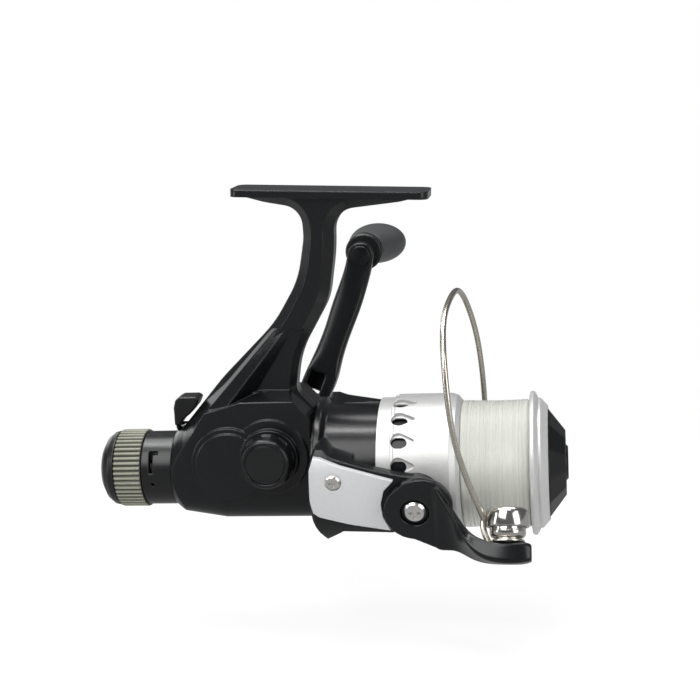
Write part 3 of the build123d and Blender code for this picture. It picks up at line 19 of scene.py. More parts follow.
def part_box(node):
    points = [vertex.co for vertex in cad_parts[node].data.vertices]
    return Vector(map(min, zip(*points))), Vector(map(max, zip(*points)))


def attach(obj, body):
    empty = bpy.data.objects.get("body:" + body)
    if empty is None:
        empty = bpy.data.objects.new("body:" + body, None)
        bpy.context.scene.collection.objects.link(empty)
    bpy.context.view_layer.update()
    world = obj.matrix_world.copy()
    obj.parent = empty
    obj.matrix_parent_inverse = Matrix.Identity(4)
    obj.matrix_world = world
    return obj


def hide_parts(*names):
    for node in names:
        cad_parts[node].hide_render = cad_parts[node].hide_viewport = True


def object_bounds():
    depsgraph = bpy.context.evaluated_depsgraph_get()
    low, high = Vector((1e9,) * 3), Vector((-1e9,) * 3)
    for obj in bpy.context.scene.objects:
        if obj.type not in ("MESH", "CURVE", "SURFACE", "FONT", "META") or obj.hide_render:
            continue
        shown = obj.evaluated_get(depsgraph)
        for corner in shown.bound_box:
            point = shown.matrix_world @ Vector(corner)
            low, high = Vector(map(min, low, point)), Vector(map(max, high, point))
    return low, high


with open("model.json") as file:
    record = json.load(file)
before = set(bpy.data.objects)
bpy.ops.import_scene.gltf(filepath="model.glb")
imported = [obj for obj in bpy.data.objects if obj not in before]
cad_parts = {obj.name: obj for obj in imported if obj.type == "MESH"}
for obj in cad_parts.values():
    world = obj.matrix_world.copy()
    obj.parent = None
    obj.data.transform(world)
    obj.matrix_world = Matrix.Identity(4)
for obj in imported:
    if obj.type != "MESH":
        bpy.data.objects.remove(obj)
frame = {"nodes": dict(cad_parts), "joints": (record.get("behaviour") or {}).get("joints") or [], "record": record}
nodes = frame["nodes"]
scene = bpy.context.scene
cad_low, cad_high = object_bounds()
print("CAD box", [round(v, 4) for v in (*cad_low, *cad_high)])

# %% [markdown]
# ## Where things are
#
# The shaft line and the crank are found from the boxes of the pieces that sit on them, and the bail's
# pivots from its joint. The rotor rests turned by a few degrees about the shaft, and the bail's wire is
# described in the rotor's own axes, so one function turns such a point into place.

# %% Axes of the reel
MM = 0.001


def link(name, data):
    """Puts mesh, curve, camera or light data into the scene as an object."""
    made = bpy.data.objects.new(name, data)
    scene.collection.objects.link(made)
    return made


def middle(node):
    """Centre of a node's box."""
    low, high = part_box(node)
    return (low + high) / 2


shaft_z = middle("spool_button").z
datum_x = middle("drive_shaft").x
joints = {joint["name"]: joint for joint in frame["joints"]}
pivot_axis = Vector(joints["bail_open"]["axis"]).normalized()
print("shaft height", round(shaft_z, 4), "crank at", round(datum_x, 4))


def rotor_point(x, along, across):
    """Place of a point in the rotor's axes: millimetres forward, along the bail's pivots and across."""
    forward = Vector((1, 0, 0))
    offset = forward * x + pivot_axis * along + forward.cross(pivot_axis) * across
    return Vector((datum_x, 0, shaft_z)) + offset * MM


# %% [markdown]
# ## Camera
#
# The reel is seen from its plain side, a little from the front and from above, with a short
# telephoto lens. The camera has a place in metres, and a yaw and a pitch that turn it to the reel. It
# is rolled slightly, so that the foot leans as it often does in a catalogue.

# %% Camera
camera_place = Vector((0.073666, -0.431680, 0.041965))
yaw, pitch, roll = radians(9.297), radians(12.0), radians(-3.383)
focal_length = 73.08874

back = Vector((sin(yaw) * cos(pitch), -cos(yaw) * cos(pitch), sin(pitch)))
level = Vector((cos(yaw), sin(yaw), 0))
upright = back.cross(level)
right = level * cos(roll) + upright * sin(roll)
above = upright * cos(roll) - level * sin(roll)

camera = bpy.data.cameras.new("camera")
camera.sensor_width = 36
camera.lens = focal_length
camera.clip_start, camera.clip_end = 0.01, 10
camera_object = link("camera", camera)
attitude = Matrix((right, above, back)).transposed().to_4x4()
camera_object.matrix_world = Matrix.Translation(camera_place) @ attitude
scene.camera = camera_object
scene.view_settings.view_transform = "Standard"
print("lens", round(camera.lens, 2), "mm")

# %% [markdown]
# ## Building materials
#
# A material is a small network of nodes. Written out one node at a time it is hard to read, so a
# socket is wrapped in a class that knows sums: `1 - mask` or `mask * 0.4 + 0.2` adds the Math nodes
# it needs. Colours and vectors must not go through Math nodes, which would turn them grey, so they
# have their own mixing and bump methods.

# %% Sockets that can be added up
class Value:
    """What comes out of a node's socket, such as a number that varies over a surface."""

    def __init__(self, network, socket):
        self.network, self.socket = network, socket

    def math(self, operation, first, second):
        return self.network.node("ShaderNodeMath", {"operation": operation}, {0: first, 1: second})

    def __add__(self, other):
        return self.math("ADD", self, other)

    def __rsub__(self, other):
        return self.math("SUBTRACT", other, self)

    def __mul__(self, other):
        return self.math("MULTIPLY", self, other)


class Network:
    """The nodes of a material or of the world."""

    def __init__(self, tree):
        self.tree = tree

    def node(self, kind, settings=(), inputs=(), output=0):
        """Adds any node: its settings first, then the values or links of its sockets."""
        made = self.tree.nodes.new(kind)
        for key, value in dict(settings).items():
            setattr(made, key, value)
        for key, value in dict(inputs).items():
            if isinstance(value, Value):
                self.tree.links.new(value.socket, made.inputs[key])
            else:
                made.inputs[key].default_value = value
        return Value(self, made.outputs[output])

    def ray(self, kind):
        """1 for rays of one kind, 0 for all others."""
        return self.node("ShaderNodeLightPath", output="Is " + kind + " Ray")

    def glow(self, kind, colour, strength):
        """Light that a surface or the sky gives off."""
        return self.node(kind, {}, {"Color": (*colour, 1), "Strength": strength})

    def blend(self, mask, first, second):
        """Shader that goes from first to second as mask goes from 0 to 1."""
        return self.node("ShaderNodeMixShader", {}, {0: mask, 1: first, 2: second})

    def show(self, surface):
        """Makes a shader the one that is seen."""
        output = next(node for node in self.tree.nodes if node.type.startswith("OUTPUT"))
        self.tree.links.new(surface.socket, output.inputs["Surface"])


class Finish(Network):
    """A material being made: one Principled shader, and methods that add nodes behind it."""

    def __init__(self, name, **constants):
        self.material = bpy.data.materials.new(name)
        self.material.use_nodes = True
        super().__init__(self.material.node_tree)
        self.shader = self.tree.nodes["Principled BSDF"]
        self.place = self.node("ShaderNodeTexCoord", output="Object")
        for socket, value in constants.items():
            self.shader.inputs[socket.replace("_", " ")].default_value = value

    def noise(self, scale, detail=3, roughness=0.5):
        """Cloudy noise with so many cells a metre."""
        inputs = {"Vector": self.place, "Scale": scale, "Detail": detail, "Roughness": roughness}
        return self.node("ShaderNodeTexNoise", {}, inputs)

    def noise_along_x(self, scale, detail, roughness=0.5):
        """Noise that changes along X alone, so that it makes rings round the shaft."""
        inputs = {"W": self.coordinate("X"), "Scale": scale, "Detail": detail, "Roughness": roughness}
        return self.node("ShaderNodeTexNoise", {"noise_dimensions": "1D"}, inputs)

    def scaled(self, factors):
        """The place on the object, multiplied axis by axis."""
        return self.node("ShaderNodeVectorMath", {"operation": "MULTIPLY"}, {0: self.place, 1: factors})

    def length(self, vector):
        return self.node("ShaderNodeVectorMath", {"operation": "LENGTH"}, {0: vector}, output="Value")

    def step(self, value, low, high):
        """0 below low, 1 above high, and smooth in between."""
        return self.node("ShaderNodeMapRange", {"interpolation_type": "SMOOTHSTEP"},
                         {"Value": value, "From Min": low, "From Max": high})

    def mix(self, mask, first, second):
        """Colour that goes from first to second as mask goes from 0 to 1."""
        # A Mix node keeps its colours in sockets 6 and 7, and the mixed colour in output 2.
        colours = {key: colour if isinstance(colour, Value) else (*colour, 1)
                   for key, colour in ((6, first), (7, second))}
        return self.node("ShaderNodeMix", {"data_type": "RGBA"}, {0: mask, **colours}, output=2)

    def bump(self, height, distance, strength=1.0, normal=None):
        links = {"Height": height, "Distance": distance, "Strength": strength}
        return self.node("ShaderNodeBump", {}, {**links, "Normal": normal} if normal else links)

    def rounded(self, radius):
        """Normal that rounds sharp edges off to a small radius."""
        return self.node("ShaderNodeBevel", {"samples": 8}, {"Radius": radius})

    def edges(self, radius):
        """1 on sharp outer and inner edges, 0 on open faces."""
        normals = {0: self.rounded(radius), 1: self.node("ShaderNodeNewGeometry", output="Normal")}
        alike = self.node("ShaderNodeVectorMath", {"operation": "DOT_PRODUCT"}, normals, output="Value")
        return self.step(1 - alike, 0.01, 0.25)

    def coordinate(self, axis):
        return self.node("ShaderNodeSeparateXYZ", {}, {"Vector": self.place}, output=axis)

    def off_middle(self):
        """Distance from the origin, measured on the level."""
        return self.length(self.scaled((1, 1, 0)))

    def off_shaft(self):
        """Distance from the spool's shaft line."""
        inputs = {0: self.place, 1: (0, 1, 1), 2: (0, 0, -shaft_z)}
        return self.length(self.node("ShaderNodeVectorMath", {"operation": "MULTIPLY_ADD"}, inputs))

    def use(self, **sockets):
        """Joins finished values to the shader's own sockets."""
        for name, value in sockets.items():
            self.tree.links.new(value.socket, self.shader.inputs[name.replace("_", " ")])
        return self.material


def shades(tint, dark, pale):
    """Two shades of a tint, made darker and paler by the factors given."""
    return tuple(dark * c for c in tint), tuple(pale * c for c in tint)


finishes = {}

# %% [markdown]
# ## Black mouldings
#
# The body, rotor and levers are moulded in black, filled plastic with a silky skin. It is never quite
# even: large soft patches where the melt flowed, a fine orange-peel skin, and paler edges. The edges'
# paleness is partly wear from hands and partly a painted highlight, laid in patches along every edge.
# A rounded normal lets every edge catch the light, as a moulded edge does.


# %% Black mouldings
def moulded(name, tint, roughness, spread, skin, edge_radius, edge_highlight_tint, **constants):
    """Moulded plastic: flow patches in the roughness, a fine skin, and edges painted paler, as wear and as a
    painted highlight.
    """
    finish = Finish(name, **constants)
    patches = finish.noise(45, 2)
    grain = finish.noise(2600, 3)
    # Paler edges in patches: partly wear, partly a painted highlight on every sharp outer and inner edge.
    rubbed_and_highlit = finish.edges(edge_radius * 1.3) * finish.step(finish.noise(260, 4), 0.35, 0.7)
    colour = finish.mix(patches, *shades(tint, 0.82, 1.2))
    return finish.use(
        Base_Color=finish.mix(rubbed_and_highlit * 0.4, colour, edge_highlight_tint),
        Roughness=patches * spread + grain * 0.08 + (roughness - spread / 2),
        Normal=finish.bump(grain, skin, 0.5, finish.rounded(edge_radius)),
    )


# Each edge tint below is the painted highlight colour of that plastic's edges, and stands for wear as well.
finishes["black_gloss"] = moulded(
    "black_gloss", tint=(0.0036, 0.0041, 0.0048), roughness=0.20, spread=0.06, skin=0.004 * MM,
    edge_radius=0.8 * MM, edge_highlight_tint=(0.03, 0.032, 0.034), Specular_IOR_Level=0.34)
finishes["black_satin"] = moulded(
    "black_satin", tint=(0.0042, 0.0045, 0.005), roughness=0.26, spread=0.08, skin=0.005 * MM,
    edge_radius=0.6 * MM, edge_highlight_tint=(0.03, 0.031, 0.032), Specular_IOR_Level=0.38)
finishes["knob_grey"] = moulded(
    "knob_grey", tint=(0.030, 0.032, 0.033), roughness=0.36, spread=0.12, skin=0.03 * MM,
    edge_radius=0.5 * MM, edge_highlight_tint=(0.07, 0.07, 0.07), Specular_IOR_Level=0.55)
print("mouldings done")

# %% [markdown]
# ## Silver paint
#
# The spool and the plates on the rotor's arms carry a satin paint with fine aluminium flakes. Flakes
# are cells, each with its own brightness and height. On the spool, faint rings are left from turning
# under the paint, so its bump follows the distance along the shaft as well.


# %% Silver paint
def flake_paint(name, tint, metallic, roughness, ring_depth):
    """Metallic paint: cells of flake over a faintly ringed or plain ground."""
    finish = Finish(name, Metallic=metallic)
    flake_cells = {"Vector": finish.place, "Scale": 6500}
    flakes = finish.node("ShaderNodeTexVoronoi", {}, flake_cells, output="Color")
    shade = finish.node("ShaderNodeSeparateColor", {}, {"Color": flakes}, output="Red")
    cloud = finish.noise(70)
    relief = finish.noise_along_x(4200, 2) * ring_depth + shade * 0.25
    return finish.use(
        Base_Color=finish.mix(shade * 0.6 + cloud * 0.4, *shades(tint, 0.86, 1.1)),
        Roughness=shade * 0.12 + cloud * 0.1 + (roughness - 0.11),
        Normal=finish.bump(relief, 0.03 * MM, 0.5, finish.rounded(0.3 * MM)),
    )


finishes["silver_paint"] = flake_paint("silver_paint", (0.50, 0.50, 0.495), 0.45, 0.36, 1.0)
finishes["silver_cover"] = flake_paint("silver_cover", (0.52, 0.525, 0.53), 0.4, 0.40, 0.0)
print("paints done")

# %% [markdown]
# ## Bright metal
#
# Wire, screws and the line roller are nickel or chrome plated. Plating mirrors its surroundings, but
# years of handling leave hairlines and a breath of haze, which live in the roughness.


# %% Bright metal
def plated(name, tint, roughness, hairlines, edge_radius):
    """Plated or polished metal with hairlines drawn along X."""
    finish = Finish(name, Metallic=1.0)
    drawn = {"Vector": finish.scaled((0.05, 1, 1)), "Scale": 9000, "Detail": 3}
    lines = finish.node("ShaderNodeTexNoise", {}, drawn)
    haze = finish.noise(160, 4)
    return finish.use(
        Base_Color=finish.mix(haze, *shades(tint, 0.85, 1)),
        Roughness=haze * 0.12 + lines * hairlines + roughness,
        Normal=finish.bump(lines, 0.01 * MM, hairlines, finish.rounded(edge_radius)),
    )


for name, tint, roughness, hairlines, edge_radius in (
        ("bright_steel", (0.78, 0.76, 0.73), 0.12, 0.10, 0.12 * MM),
        ("wire_steel", (0.60, 0.56, 0.50), 0.16, 0.10, 0.12 * MM),
        ("chrome_roller", (0.60, 0.58, 0.55), 0.06, 0.06, 0.2 * MM),
        ("bearing_steel", (0.50, 0.50, 0.51), 0.18, 0.2, 0.1 * MM),
        ("brass", (0.72, 0.52, 0.24), 0.2, 0.2, 0.1 * MM)):
    finishes[name] = plated(name, tint, roughness, hairlines, edge_radius)
print("metals done")

# %% [markdown]
# ## Inner pieces
#
# Zinc gears are cast, so they are dull and slightly pitted. Nylon is milky, felt is fibrous. They are
# hidden inside the reel, and they matter to anyone who takes it apart.


# %% Zinc, nylon and felt
def cast_zinc():
    finish = Finish("zinc", Metallic=0.85)
    pits = finish.step(finish.noise(1900, 5, 0.7), 0.3, 0.55)
    cloud = finish.noise(120)
    return finish.use(
        Base_Color=finish.mix(cloud, (0.36, 0.36, 0.37), (0.50, 0.50, 0.51)),
        Roughness=cloud * 0.2 + 0.38,
        Normal=finish.bump(pits, 0.04 * MM, 0.6, finish.rounded(0.15 * MM)),
    )


def nylon():
    finish = Finish("white_nylon")
    cloud = finish.noise(90, 2)
    return finish.use(
        Base_Color=finish.mix(cloud, (0.74, 0.72, 0.66), (0.84, 0.83, 0.79)),
        Roughness=cloud * 0.15 + 0.35,
        Normal=finish.bump(finish.noise(1500), 0.02 * MM, 0.4, finish.rounded(0.2 * MM)),
    )


def felt():
    finish = Finish("friction_felt")
    fibres = finish.noise(3200, 6, 0.8)
    return finish.use(
        Base_Color=finish.mix(fibres, (0.20, 0.17, 0.13), (0.42, 0.37, 0.30)),
        Roughness=fibres * 0.1 + 0.85,
        Normal=finish.bump(fibres, 0.15 * MM, 0.9),
    )


finishes["zinc"] = cast_zinc()
finishes["white_nylon"] = nylon()
finishes["friction_felt"] = felt()
print("inner finishes done")

# %% [markdown]
# ## The drag knob's grip
#
# The grip is an olive-grey elastomer with raised ribs. Its colour follows the distance from the shaft
# line: the grooves are painted near black, which is painted shade with some dirt, and the crowns keep
# the rubber's own dusty olive.


# %% Ribbed grip
def ribbed_rubber():
    finish = Finish("olive_rubber", Specular_IOR_Level=0.4)
    # 1 on the crowns and 0 in the grooves; the grooves are given painted shade, with some dirt.
    crown = finish.step(finish.off_shaft(), grip_radius - rib_depth, grip_radius)
    dust = finish.noise(520, 4)
    dusty_olive = finish.mix(dust, (0.165, 0.166, 0.128), (0.225, 0.227, 0.18))
    return finish.use(
        # Near-black groove colour: painted shade, with some dirt.
        Base_Color=finish.mix(crown, (0.040, 0.041, 0.029), dusty_olive),
        Roughness=dust * 0.15 + 0.42,
        Normal=finish.bump(finish.noise(2400), 0.03 * MM, 0.5),
    )


grip_low, grip_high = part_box("drag_knob_grip")
grip_radius = (grip_high.z - grip_low.z) / 2
rib_depth = 0.42 * MM
finishes["olive_rubber"] = ribbed_rubber()
print("grip done, radius", round(grip_radius / MM, 2), "mm")

# %% [markdown]
# ## Monofilament
#
# Clear line on a full spool looks pale grey-green: light goes in, is bent by hundreds of round turns
# and comes back out. A little subsurface scattering and a coat give that depth, and bands of slightly
# different tone show where the layers crossed.


# %% Clear line
def clear_line():
    finish = Finish("line", Subsurface_Weight=0.25, Subsurface_Radius=(1.0, 1.0, 0.9),
                    Subsurface_Scale=1.5 * MM, Coat_Weight=0.7, Coat_Roughness=0.25)
    bands = finish.noise_along_x(900, 4, 0.7)
    strands = finish.noise_along_x(6000, 1)
    tone = finish.mix(bands, (0.35, 0.36, 0.325), (0.51, 0.515, 0.47))
    glints = finish.step(strands, 0.35, 0.65) * 0.35
    return finish.use(
        Base_Color=finish.mix(glints, tone, (0.58, 0.585, 0.545)),
        Roughness=bands * 0.2 + 0.18,
        Normal=finish.bump(strands, 0.03 * MM, 0.4),
    )


finishes["line"] = clear_line()
print("line done")

# %% [markdown]
# ## Dressing the CAD pieces
#
# Every node of the record names a material slot, and each slot has one finish here. Assigning it is
# all that a well-shaped piece needs.

# %% Give every node its finish
slots = {subpart["node"]: subpart["material_slot"] for subpart in frame["record"]["subparts"]}
for node, slot in slots.items():
    nodes[node].data.materials.clear()
    nodes[node].data.materials.append(finishes[slot])
print(len(nodes), "nodes dressed with", len(finishes), "finishes")

# %% [markdown]
# ## Turned pieces
#
# Several pieces are round about an axis, so they are spun from a profile: a row of points, each with its
# place along the axis and its radius. A row that ends where it starts makes a ring, and any other row is
# capped at both ends. A finished piece stands in for the CAD node that it replaces, on the same body.

# %% Meshes from turned profiles
shaft_line = Matrix.Translation((0, 0, shaft_z))


def turned(name, profile, line=shaft_line, segments=160, radius_at=None):
    """Mesh of revolution about a line's X axis from (x, radius) points in metres.

    radius_at may change the radius round the line: it is given a point's number, radius and angle.
    """
    mesh = bmesh.new()
    rings = []
    for place, (x, radius) in enumerate(profile):
        ring = []
        for number in range(segments):
            angle = 2 * pi * number / segments
            reach = radius_at(place, radius, angle) if radius_at else radius
            ring.append(mesh.verts.new(line @ Vector((x, reach * cos(angle), reach * sin(angle)))))
        rings.append(ring)
    for ring, following in zip(rings, rings[1:]):
        for number in range(segments):
            beyond = (number + 1) % segments
            mesh.faces.new((ring[number], ring[beyond], following[beyond], following[number]))
    if profile[0] != profile[-1]:
        mesh.faces.new(rings[0])
        mesh.faces.new(rings[-1])
    bmesh.ops.remove_doubles(mesh, verts=mesh.verts, dist=0.001 * MM)
    return finish_mesh(name, mesh)


def finish_mesh(name, mesh):
    """Turns a bmesh into a smooth object in the scene."""
    bmesh.ops.recalc_face_normals(mesh, faces=mesh.faces)
    data = bpy.data.meshes.new(name)
    mesh.to_mesh(data)
    mesh.free()
    for polygon in data.polygons:
        polygon.use_smooth = True
    data.set_sharp_from_angle(angle=radians(40))
    print(name, len(data.polygons), "faces")
    return link(name, data)


def stand_in(piece, body, slot, *replaced, finish=None):
    """Makes a modelled piece ride on its body, in place of CAD nodes where some are named."""
    piece.data.materials.clear()
    piece.data.materials.append(finishes[finish or slot])
    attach(piece, body)
    if replaced:
        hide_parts(*replaced)


# %% [markdown]
# ## Wound line
#
# A full spool is a stack of turns a third of a millimetre across. Modelling the outer layer as real
# ridges gives the fine banded shine that a bump map loses at a glancing angle. The profile is a row of
# small arches, and every turn is a little higher or lower than the last, as laid line is. The last
# turns at both ends sag, and the middle of the spool is slightly hollow.

# %% Wound line
line_low, line_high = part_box("wound_line")
line_radius = (line_high.z - line_low.z) / 2
line_span = line_high.x - line_low.x
arbor_radius = 14.9 * MM
turn_count = round(line_span / (0.32 * MM))
turn_width = line_span / turn_count
end_sag, sagging_turns = 0.5 * MM, 3
hollow_depth = 0.30 * MM
unevenness = 0.05 * MM
end_drop = 0.6 * MM
arch = ((0.03, 0.13 * MM), (0.25, 0.04 * MM), (0.5, 0.0), (0.75, 0.04 * MM))


def turn_height(turn):
    """Outer radius of one turn of line, counted from the rear."""
    from_end = min(turn, turn_count - 1 - turn)
    from_middle = 2 * turn / (turn_count - 1) - 1
    sag = end_sag * max(0, 1 - from_end / sagging_turns) ** 2
    hollow = hollow_depth * (1 - from_middle ** 2)
    wander = unevenness * (0.5 + 0.5 * sin(turn * 2.4) * cos(turn * 0.37))
    return line_radius - sag - hollow - wander


line_profile = [(line_low.x, arbor_radius)]
for turn in range(turn_count):
    start = line_low.x + turn * turn_width
    line_profile += [(start + turn_width * part, turn_height(turn) - drop) for part, drop in arch]
line_profile += [(line_high.x, line_radius - end_drop), (line_high.x, arbor_radius), line_profile[0]]
stand_in(turned("laid_line", line_profile), "spool", "line", "wound_line")

# %% [markdown]
# ## Bail wire
#
# The bail is one bent wire, so a curve with a round bevel is the right tool: it stays a true tube all
# along, where a swept solid has facets at its bends. A NURBS curve runs near its control points, which
# are the bends of the real wire. They are given in millimetres in the rotor's axes.

# %% Bail wire
wire_points = (
    (67.0, -31.0, -1.3), (66.3, -31.0, 1.2), (64.5, -31.0, 6.7), (62.3, -30.8, 13.7),
    (60.1, -30.2, 22.4), (58.9, -29.1, 29.5), (58.2, -27.1, 37.3), (57.7, -24.0, 44.4),
    (57.2, -19.4, 50.5), (57.0, -11.0, 55.4), (58.0, -0.4, 56.5), (59.3, 10.5, 55.4),
    (60.4, 19.0, 50.4), (61.6, 24.2, 43.6), (62.9, 27.4, 36.0), (63.9, 29.5, 27.4),
    (64.5, 30.6, 17.4), (64.7, 31.0, 8.2), (64.7, 31.05, 1.6),
)
wire_radius = 0.9 * MM


def tube(name, points, radius):
    """Smooth round wire along control points."""
    curve = bpy.data.curves.new(name, "CURVE")
    curve.dimensions = "3D"
    curve.bevel_depth, curve.bevel_resolution = radius, 6
    curve.use_fill_caps = True
    spline = curve.splines.new("NURBS")
    spline.points.add(len(points) - 1)
    for control, point in zip(spline.points, points):
        control.co = (*point, 1)
    spline.order_u, spline.use_endpoint_u, spline.resolution_u = 3, True, 12
    print(name, "is bent by", len(points), "control points")
    return link(name, curve)


bail_hoop = tube("bail_hoop", [rotor_point(*point) for point in wire_points], wire_radius)
stand_in(bail_hoop, "bail", "bright_steel", "bail_wire", finish="wire_steel")

# %% [markdown]
# ## Wire cap, roller and foot
#
# The wire ends in a chromed cap with a rounded crown, and the cap's skirt reaches over the line roller.
# The roller is a drum with one fine groove and a rounded foot, and a stepped washer keeps it off the
# lever. All three are turned about the roller's own axis, from millimetres along it and out from it.
# A short foot ties the cap to the lever: a second piece of wire that passes beside the roller.

# %% Cap, roller, washer and foot of the wire
roller_joint = joints["line_roller_spin"]
roller_middle = Vector(roller_joint["pos_m"])
roller_axis = Vector(roller_joint["axis"]).normalized()
roller_turn = roller_axis.to_track_quat("X", "Z").to_matrix().to_4x4()
roller_line = Matrix.Translation(roller_middle) @ roller_turn

cap_profile = (
    (-3.6, 1.7), (-3.6, 3.0), (-4.4, 3.0), (-4.6, 3.2), (-4.6, 4.9), (-4.45, 5.4), (-4.1, 5.85),
    (-3.6, 6.2), (-3.0, 6.4), (0.9, 6.4), (1.1, 6.3), (1.15, 6.05), (1.05, 5.65), (-0.35, 5.6),
    (-0.4, 5.3), (-0.4, 1.7), (-3.6, 1.7),
)
roller_profile = (
    (-0.25, 1.68), (-0.25, 4.9), (-0.1, 5.2), (2.0, 5.4), (2.15, 5.2), (2.3, 5.2), (2.45, 5.4),
    (3.2, 5.3), (3.75, 5.1), (4.15, 4.75), (4.33, 4.3), (4.35, 1.68), (-0.25, 1.68),
)
washer_profile = (
    (4.4, 1.62), (4.4, 4.1), (4.5, 4.25), (4.75, 4.25), (4.85, 4.4), (4.85, 4.75), (4.95, 4.95),
    (5.43, 4.98), (5.43, 1.62), (4.4, 1.62),
)
foot_points = ((-7.0, -1.6), (-7.35, -0.2), (-7.2, 1.6), (-6.6, 3.6), (-5.8, 5.2), (-5.4, 6.6))


def beside_roller(aside, along):
    """Place that is so many millimetres aside of the roller's middle and along its axis."""
    return roller_middle + (Vector((aside, 0, 0)) + roller_axis * along) * MM


for name, body, profile, replaced, finish in (
        ("wire_cap", "bail", cap_profile, "wire_bracket", "chrome_roller"),
        ("drum_roller", "roller", roller_profile, "line_roller", "chrome_roller"),
        ("stepped_washer", "bail", washer_profile, "roller_washer", "wire_steel")):
    points = [(x * MM, radius * MM) for x, radius in profile]
    piece = turned(name, points, roller_line, segments=96)
    stand_in(piece, body, "chrome_roller", replaced, finish=finish)

wire_foot = tube("wire_foot", [beside_roller(*point) for point in foot_points], wire_radius)
stand_in(wire_foot, "bail", "chrome_roller", finish="wire_steel")

# %% [markdown]
# ## Ribs of the grip
#
# Moulded ribs are waves rather than square teeth. The grip is a turned ring whose radius is changed by
# a raised cosine round the shaft, which gives round crowns and narrow grooves. Each point of the
# profile has its own share of the waves: the rear edge is scalloped and the front edge is a plain rim.

# %% Grip
rib_count = 48
core_radius = grip_radius - 1.55 * MM
groove_depth = 1.3 * rib_depth
rim = 0.25 * MM
grip_profile = [
    (grip_low.x, core_radius), (grip_low.x, grip_radius - 0.9 * MM),
    (grip_low.x + rim, grip_radius - 0.3 * MM), (grip_low.x + 3 * rim, grip_radius - 0.03 * MM),
    (grip_high.x - 5 * rim, grip_radius), (grip_high.x - 3 * rim, grip_radius),
    (grip_high.x - rim, grip_radius - 0.02 * MM), (grip_high.x, grip_radius - 0.25 * MM),
    (grip_high.x, core_radius), (grip_low.x, core_radius),
]
rib_share = (0, 0.6, 1, 1, 1, 1, 1, 0.8, 0, 0)


def rib_wave(place, radius, angle):
    """Radius of the grip at an angle: full on a crown, less in a groove."""
    crest = (0.5 + 0.5 * cos(rib_count * angle)) ** 0.7
    return radius - groove_depth * (1 - crest) * rib_share[place]


grip = turned("ribbed_grip", grip_profile, segments=rib_count * 10, radius_at=rib_wave)
stand_in(grip, "drag_knob", "olive_rubber", "drag_knob_grip")

# %% [markdown]
# ## Soft-edged levers and knob
#
# Moulded levers have no sharp edge anywhere: every corner is rounded by a millimetre or more. Rounding
# a solid with many crossing curves is hard for a solid modeller and easy for a remesh: the piece is
# copied, rebuilt from even small cells, and its surface is relaxed until the corners are round. The
# crank arm is relaxed far more along its bare middle, which turns its flat bar into a rounded one. Its
# fork stays crisp, so that the hub still fits. The bail's lever is a hair thinner than its solid, which
# keeps it clear of the arm's cover when the bail opens.


# %% Rounded copies
def cells(name, node, cell):
    """Copy of a node's mesh, rebuilt from small cells of even size."""
    rough = link(name + "_rough", nodes[node].data.copy())
    remesh = rough.modifiers.new("cells", "REMESH")
    remesh.mode, remesh.voxel_size = "VOXEL", cell
    rebuilt = rough.evaluated_get(bpy.context.evaluated_depsgraph_get())
    data = bpy.data.meshes.new_from_object(rebuilt)
    bpy.data.objects.remove(rough)
    for polygon in data.polygons:
        polygon.use_smooth = True
    print(name, len(data.polygons), "faces")
    return link(name, data)


def everywhere(point):
    """The same share all over a piece."""
    return 1.0


def relax(piece, passes, share=everywhere):
    """Rounds a piece's corners off, more with more passes, where its share is above 0."""
    group = piece.vertex_groups.new(name="share " + str(passes))
    for vertex in piece.data.vertices:
        group.add([vertex.index], share(vertex.co), "REPLACE")
    smooth = piece.modifiers.new(group.name, "SMOOTH")
    smooth.factor, smooth.iterations, smooth.vertex_group = 0.5, passes, group.name
    return piece


fold = joints["handle_fold"]
fold_place, fold_axis = Vector(fold["pos_m"]), Vector(fold["axis"])
arm_run = Vector((-fold_axis.z, 0, fold_axis.x)).normalized()
fork_end, fork_fade = 13 * MM, 7 * MM
tip_start, tip_fade = 54 * MM, 8 * MM


def bare_arm(point):
    """1 on the plain middle of the crank arm, 0 at its fork and its tip."""
    along = (point - fold_place).dot(arm_run)
    return max(0.0, min(1.0, (along - fork_end) / fork_fade, (tip_start - along) / tip_fade))


crank_arm = relax(cells("crank_arm", "handle_arm", 0.3 * MM), 8)
stand_in(relax(crank_arm, 260, bare_arm), "arm", slots["handle_arm"], "handle_arm")
for name, node, body, cell, passes in (
        ("reverse_tab", "anti_reverse_lever", "reverse_lever", 0.25 * MM, 20),
        ("crank_knob", "handle_knob", "knob", 0.4 * MM, 24)):
    stand_in(relax(cells(name, node, cell), passes), body, slots[node], node)

clearance = 0.12 * MM
bail_arm = cells("bail_arm", "bail_lever", 0.25 * MM)
thinner = bail_arm.modifiers.new("thinner", "DISPLACE")
thinner.strength, thinner.mid_level = -clearance, 0
stand_in(relax(bail_arm, 14), "bail", slots["bail_lever"], "bail_lever")

# %% [markdown]
# ## Cap of the crank's tip
#
# The knob's post is riveted inside the arm and hidden by a small pressed-in cap. It is a low disc with a
# rounded rim, turned about the post's axis, from millimetres along Y and out from the axis.

# %% Tip cap
post = middle("knob_post")
post_line = Matrix.Translation((post.x, 0, post.z)) @ Matrix.Rotation(pi / 2, 4, "Z")
tip_profile = ((61.2, 3.5), (60.35, 3.5), (60.12, 3.4), (60.0, 3.15), (60.12, 2.7), (60.12, 0.2))
tip_points = [(y * MM, radius * MM) for y, radius in tip_profile]
stand_in(turned("tip_cap", tip_points, post_line, segments=64), "arm", "black_gloss")

# %% [markdown]
# ## Floor, backdrop and light
#
# A catalogue picture is lit by big soft sources. The floor and the surroundings are plain white to
# the camera and dimmer in reflections, while the light that falls on the reel comes from six area
# lamps and a dim even sky. Keeping the two apart means the white never washes the black plastic out.
# Two of the lamps are narrow: they draw the bright lines that show how the black plastic is curved.

# %% Studio
floor_drop = 30 * MM
floor_reach = 6
floor_dish = 0.004
shade_reach = 0.3
shade_depth = 0.12
mirrored_white = 0.45
sky_strength = 0.16


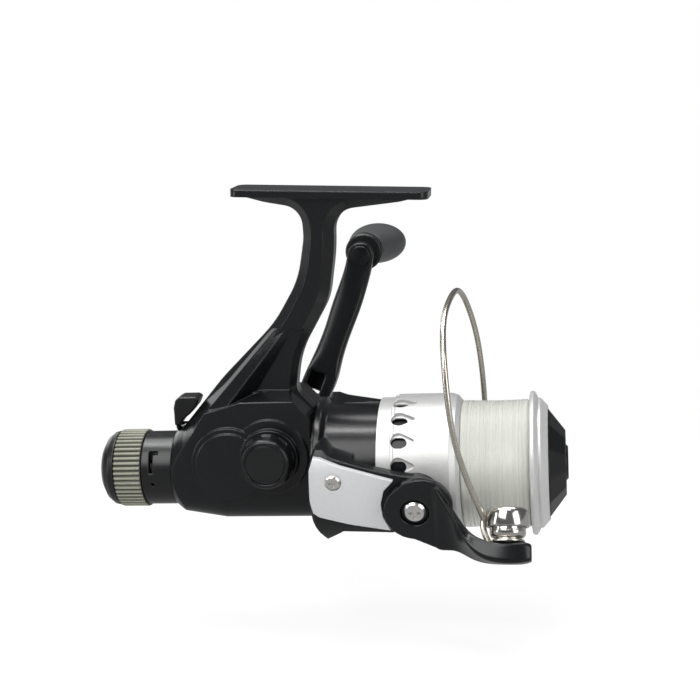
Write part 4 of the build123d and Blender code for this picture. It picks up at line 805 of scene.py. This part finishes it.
def studio_floor():
    """A wide, gently dished sheet below the reel."""
    mesh = bmesh.new()
    bmesh.ops.create_grid(mesh, x_segments=24, y_segments=24, size=floor_reach)
    for vertex in mesh.verts:
        rise = floor_dish * hypot(vertex.co.x, vertex.co.y) ** 2
        vertex.co.z = cad_low.z - floor_drop + rise
    return finish_mesh("studio_floor", mesh)


def floor_paper():
    """White paper that shows plain white to the camera, with a trace of shade left near the reel."""
    finish = Finish("floor_paper", Roughness=0.9)
    seen = finish.ray("Camera")
    near = 1 - finish.step(finish.off_middle(), shade_reach / 4, shade_reach)
    shaded = Value(finish, finish.shader.outputs["BSDF"])
    reflected = finish.glow("ShaderNodeEmission", (1, 1, 1), mirrored_white)
    plain = finish.glow("ShaderNodeEmission", (1, 1, 1), 1.0)
    unseen = finish.blend(finish.ray("Glossy") + finish.ray("Transmission"), shaded, reflected)
    finish.show(finish.blend(seen * (1 - near * shade_depth), unseen, plain))
    return finish.use(Base_Color=finish.mix(finish.noise(3, 2), (0.83, 0.83, 0.83), (0.87, 0.87, 0.87)))


floor = studio_floor()
floor.data.materials.append(floor_paper())

world = bpy.data.worlds.new("studio")
scene.world = world
world.use_nodes = True
sky = Network(world.node_tree)
dim = sky.glow("ShaderNodeBackground", (0.97, 0.98, 1.0), sky_strength)
white = sky.glow("ShaderNodeBackground", (1, 1, 1), 1.0)
sky.show(sky.blend(sky.ray("Camera"), dim, white))


def softbox(name, place, size, power):
    """Rectangular lamp that faces the middle of the reel, with its place and size in metres."""
    lamp = bpy.data.lights.new(name, "AREA")
    lamp.shape, lamp.energy = "RECTANGLE", power
    lamp.size, lamp.size_y = size
    made = link(name, lamp)
    made.location = Vector(place)
    towards = (cad_low + cad_high) / 2 - made.location
    made.rotation_mode = "QUATERNION"
    made.rotation_quaternion = towards.to_track_quat("-Z", "Y")
    print(name, power, "W")


softbox("key", (-0.30, -0.60, 0.55), (0.6, 0.6), 6.0)
softbox("fill", (0.65, -0.45, 0.15), (0.4, 0.6), 2.6)
softbox("top", (0.0, 0.17, 0.68), (0.9, 0.34), 6.5)
softbox("edge", (-0.1, -0.12, 0.66), (0.9, 0.05), 4.5)
softbox("rim", (-0.5, 0.5, 0.15), (0.4, 0.5), 1.0)
softbox("strip", (-0.75, -0.35, 0.05), (0.08, 0.6), 1.6)
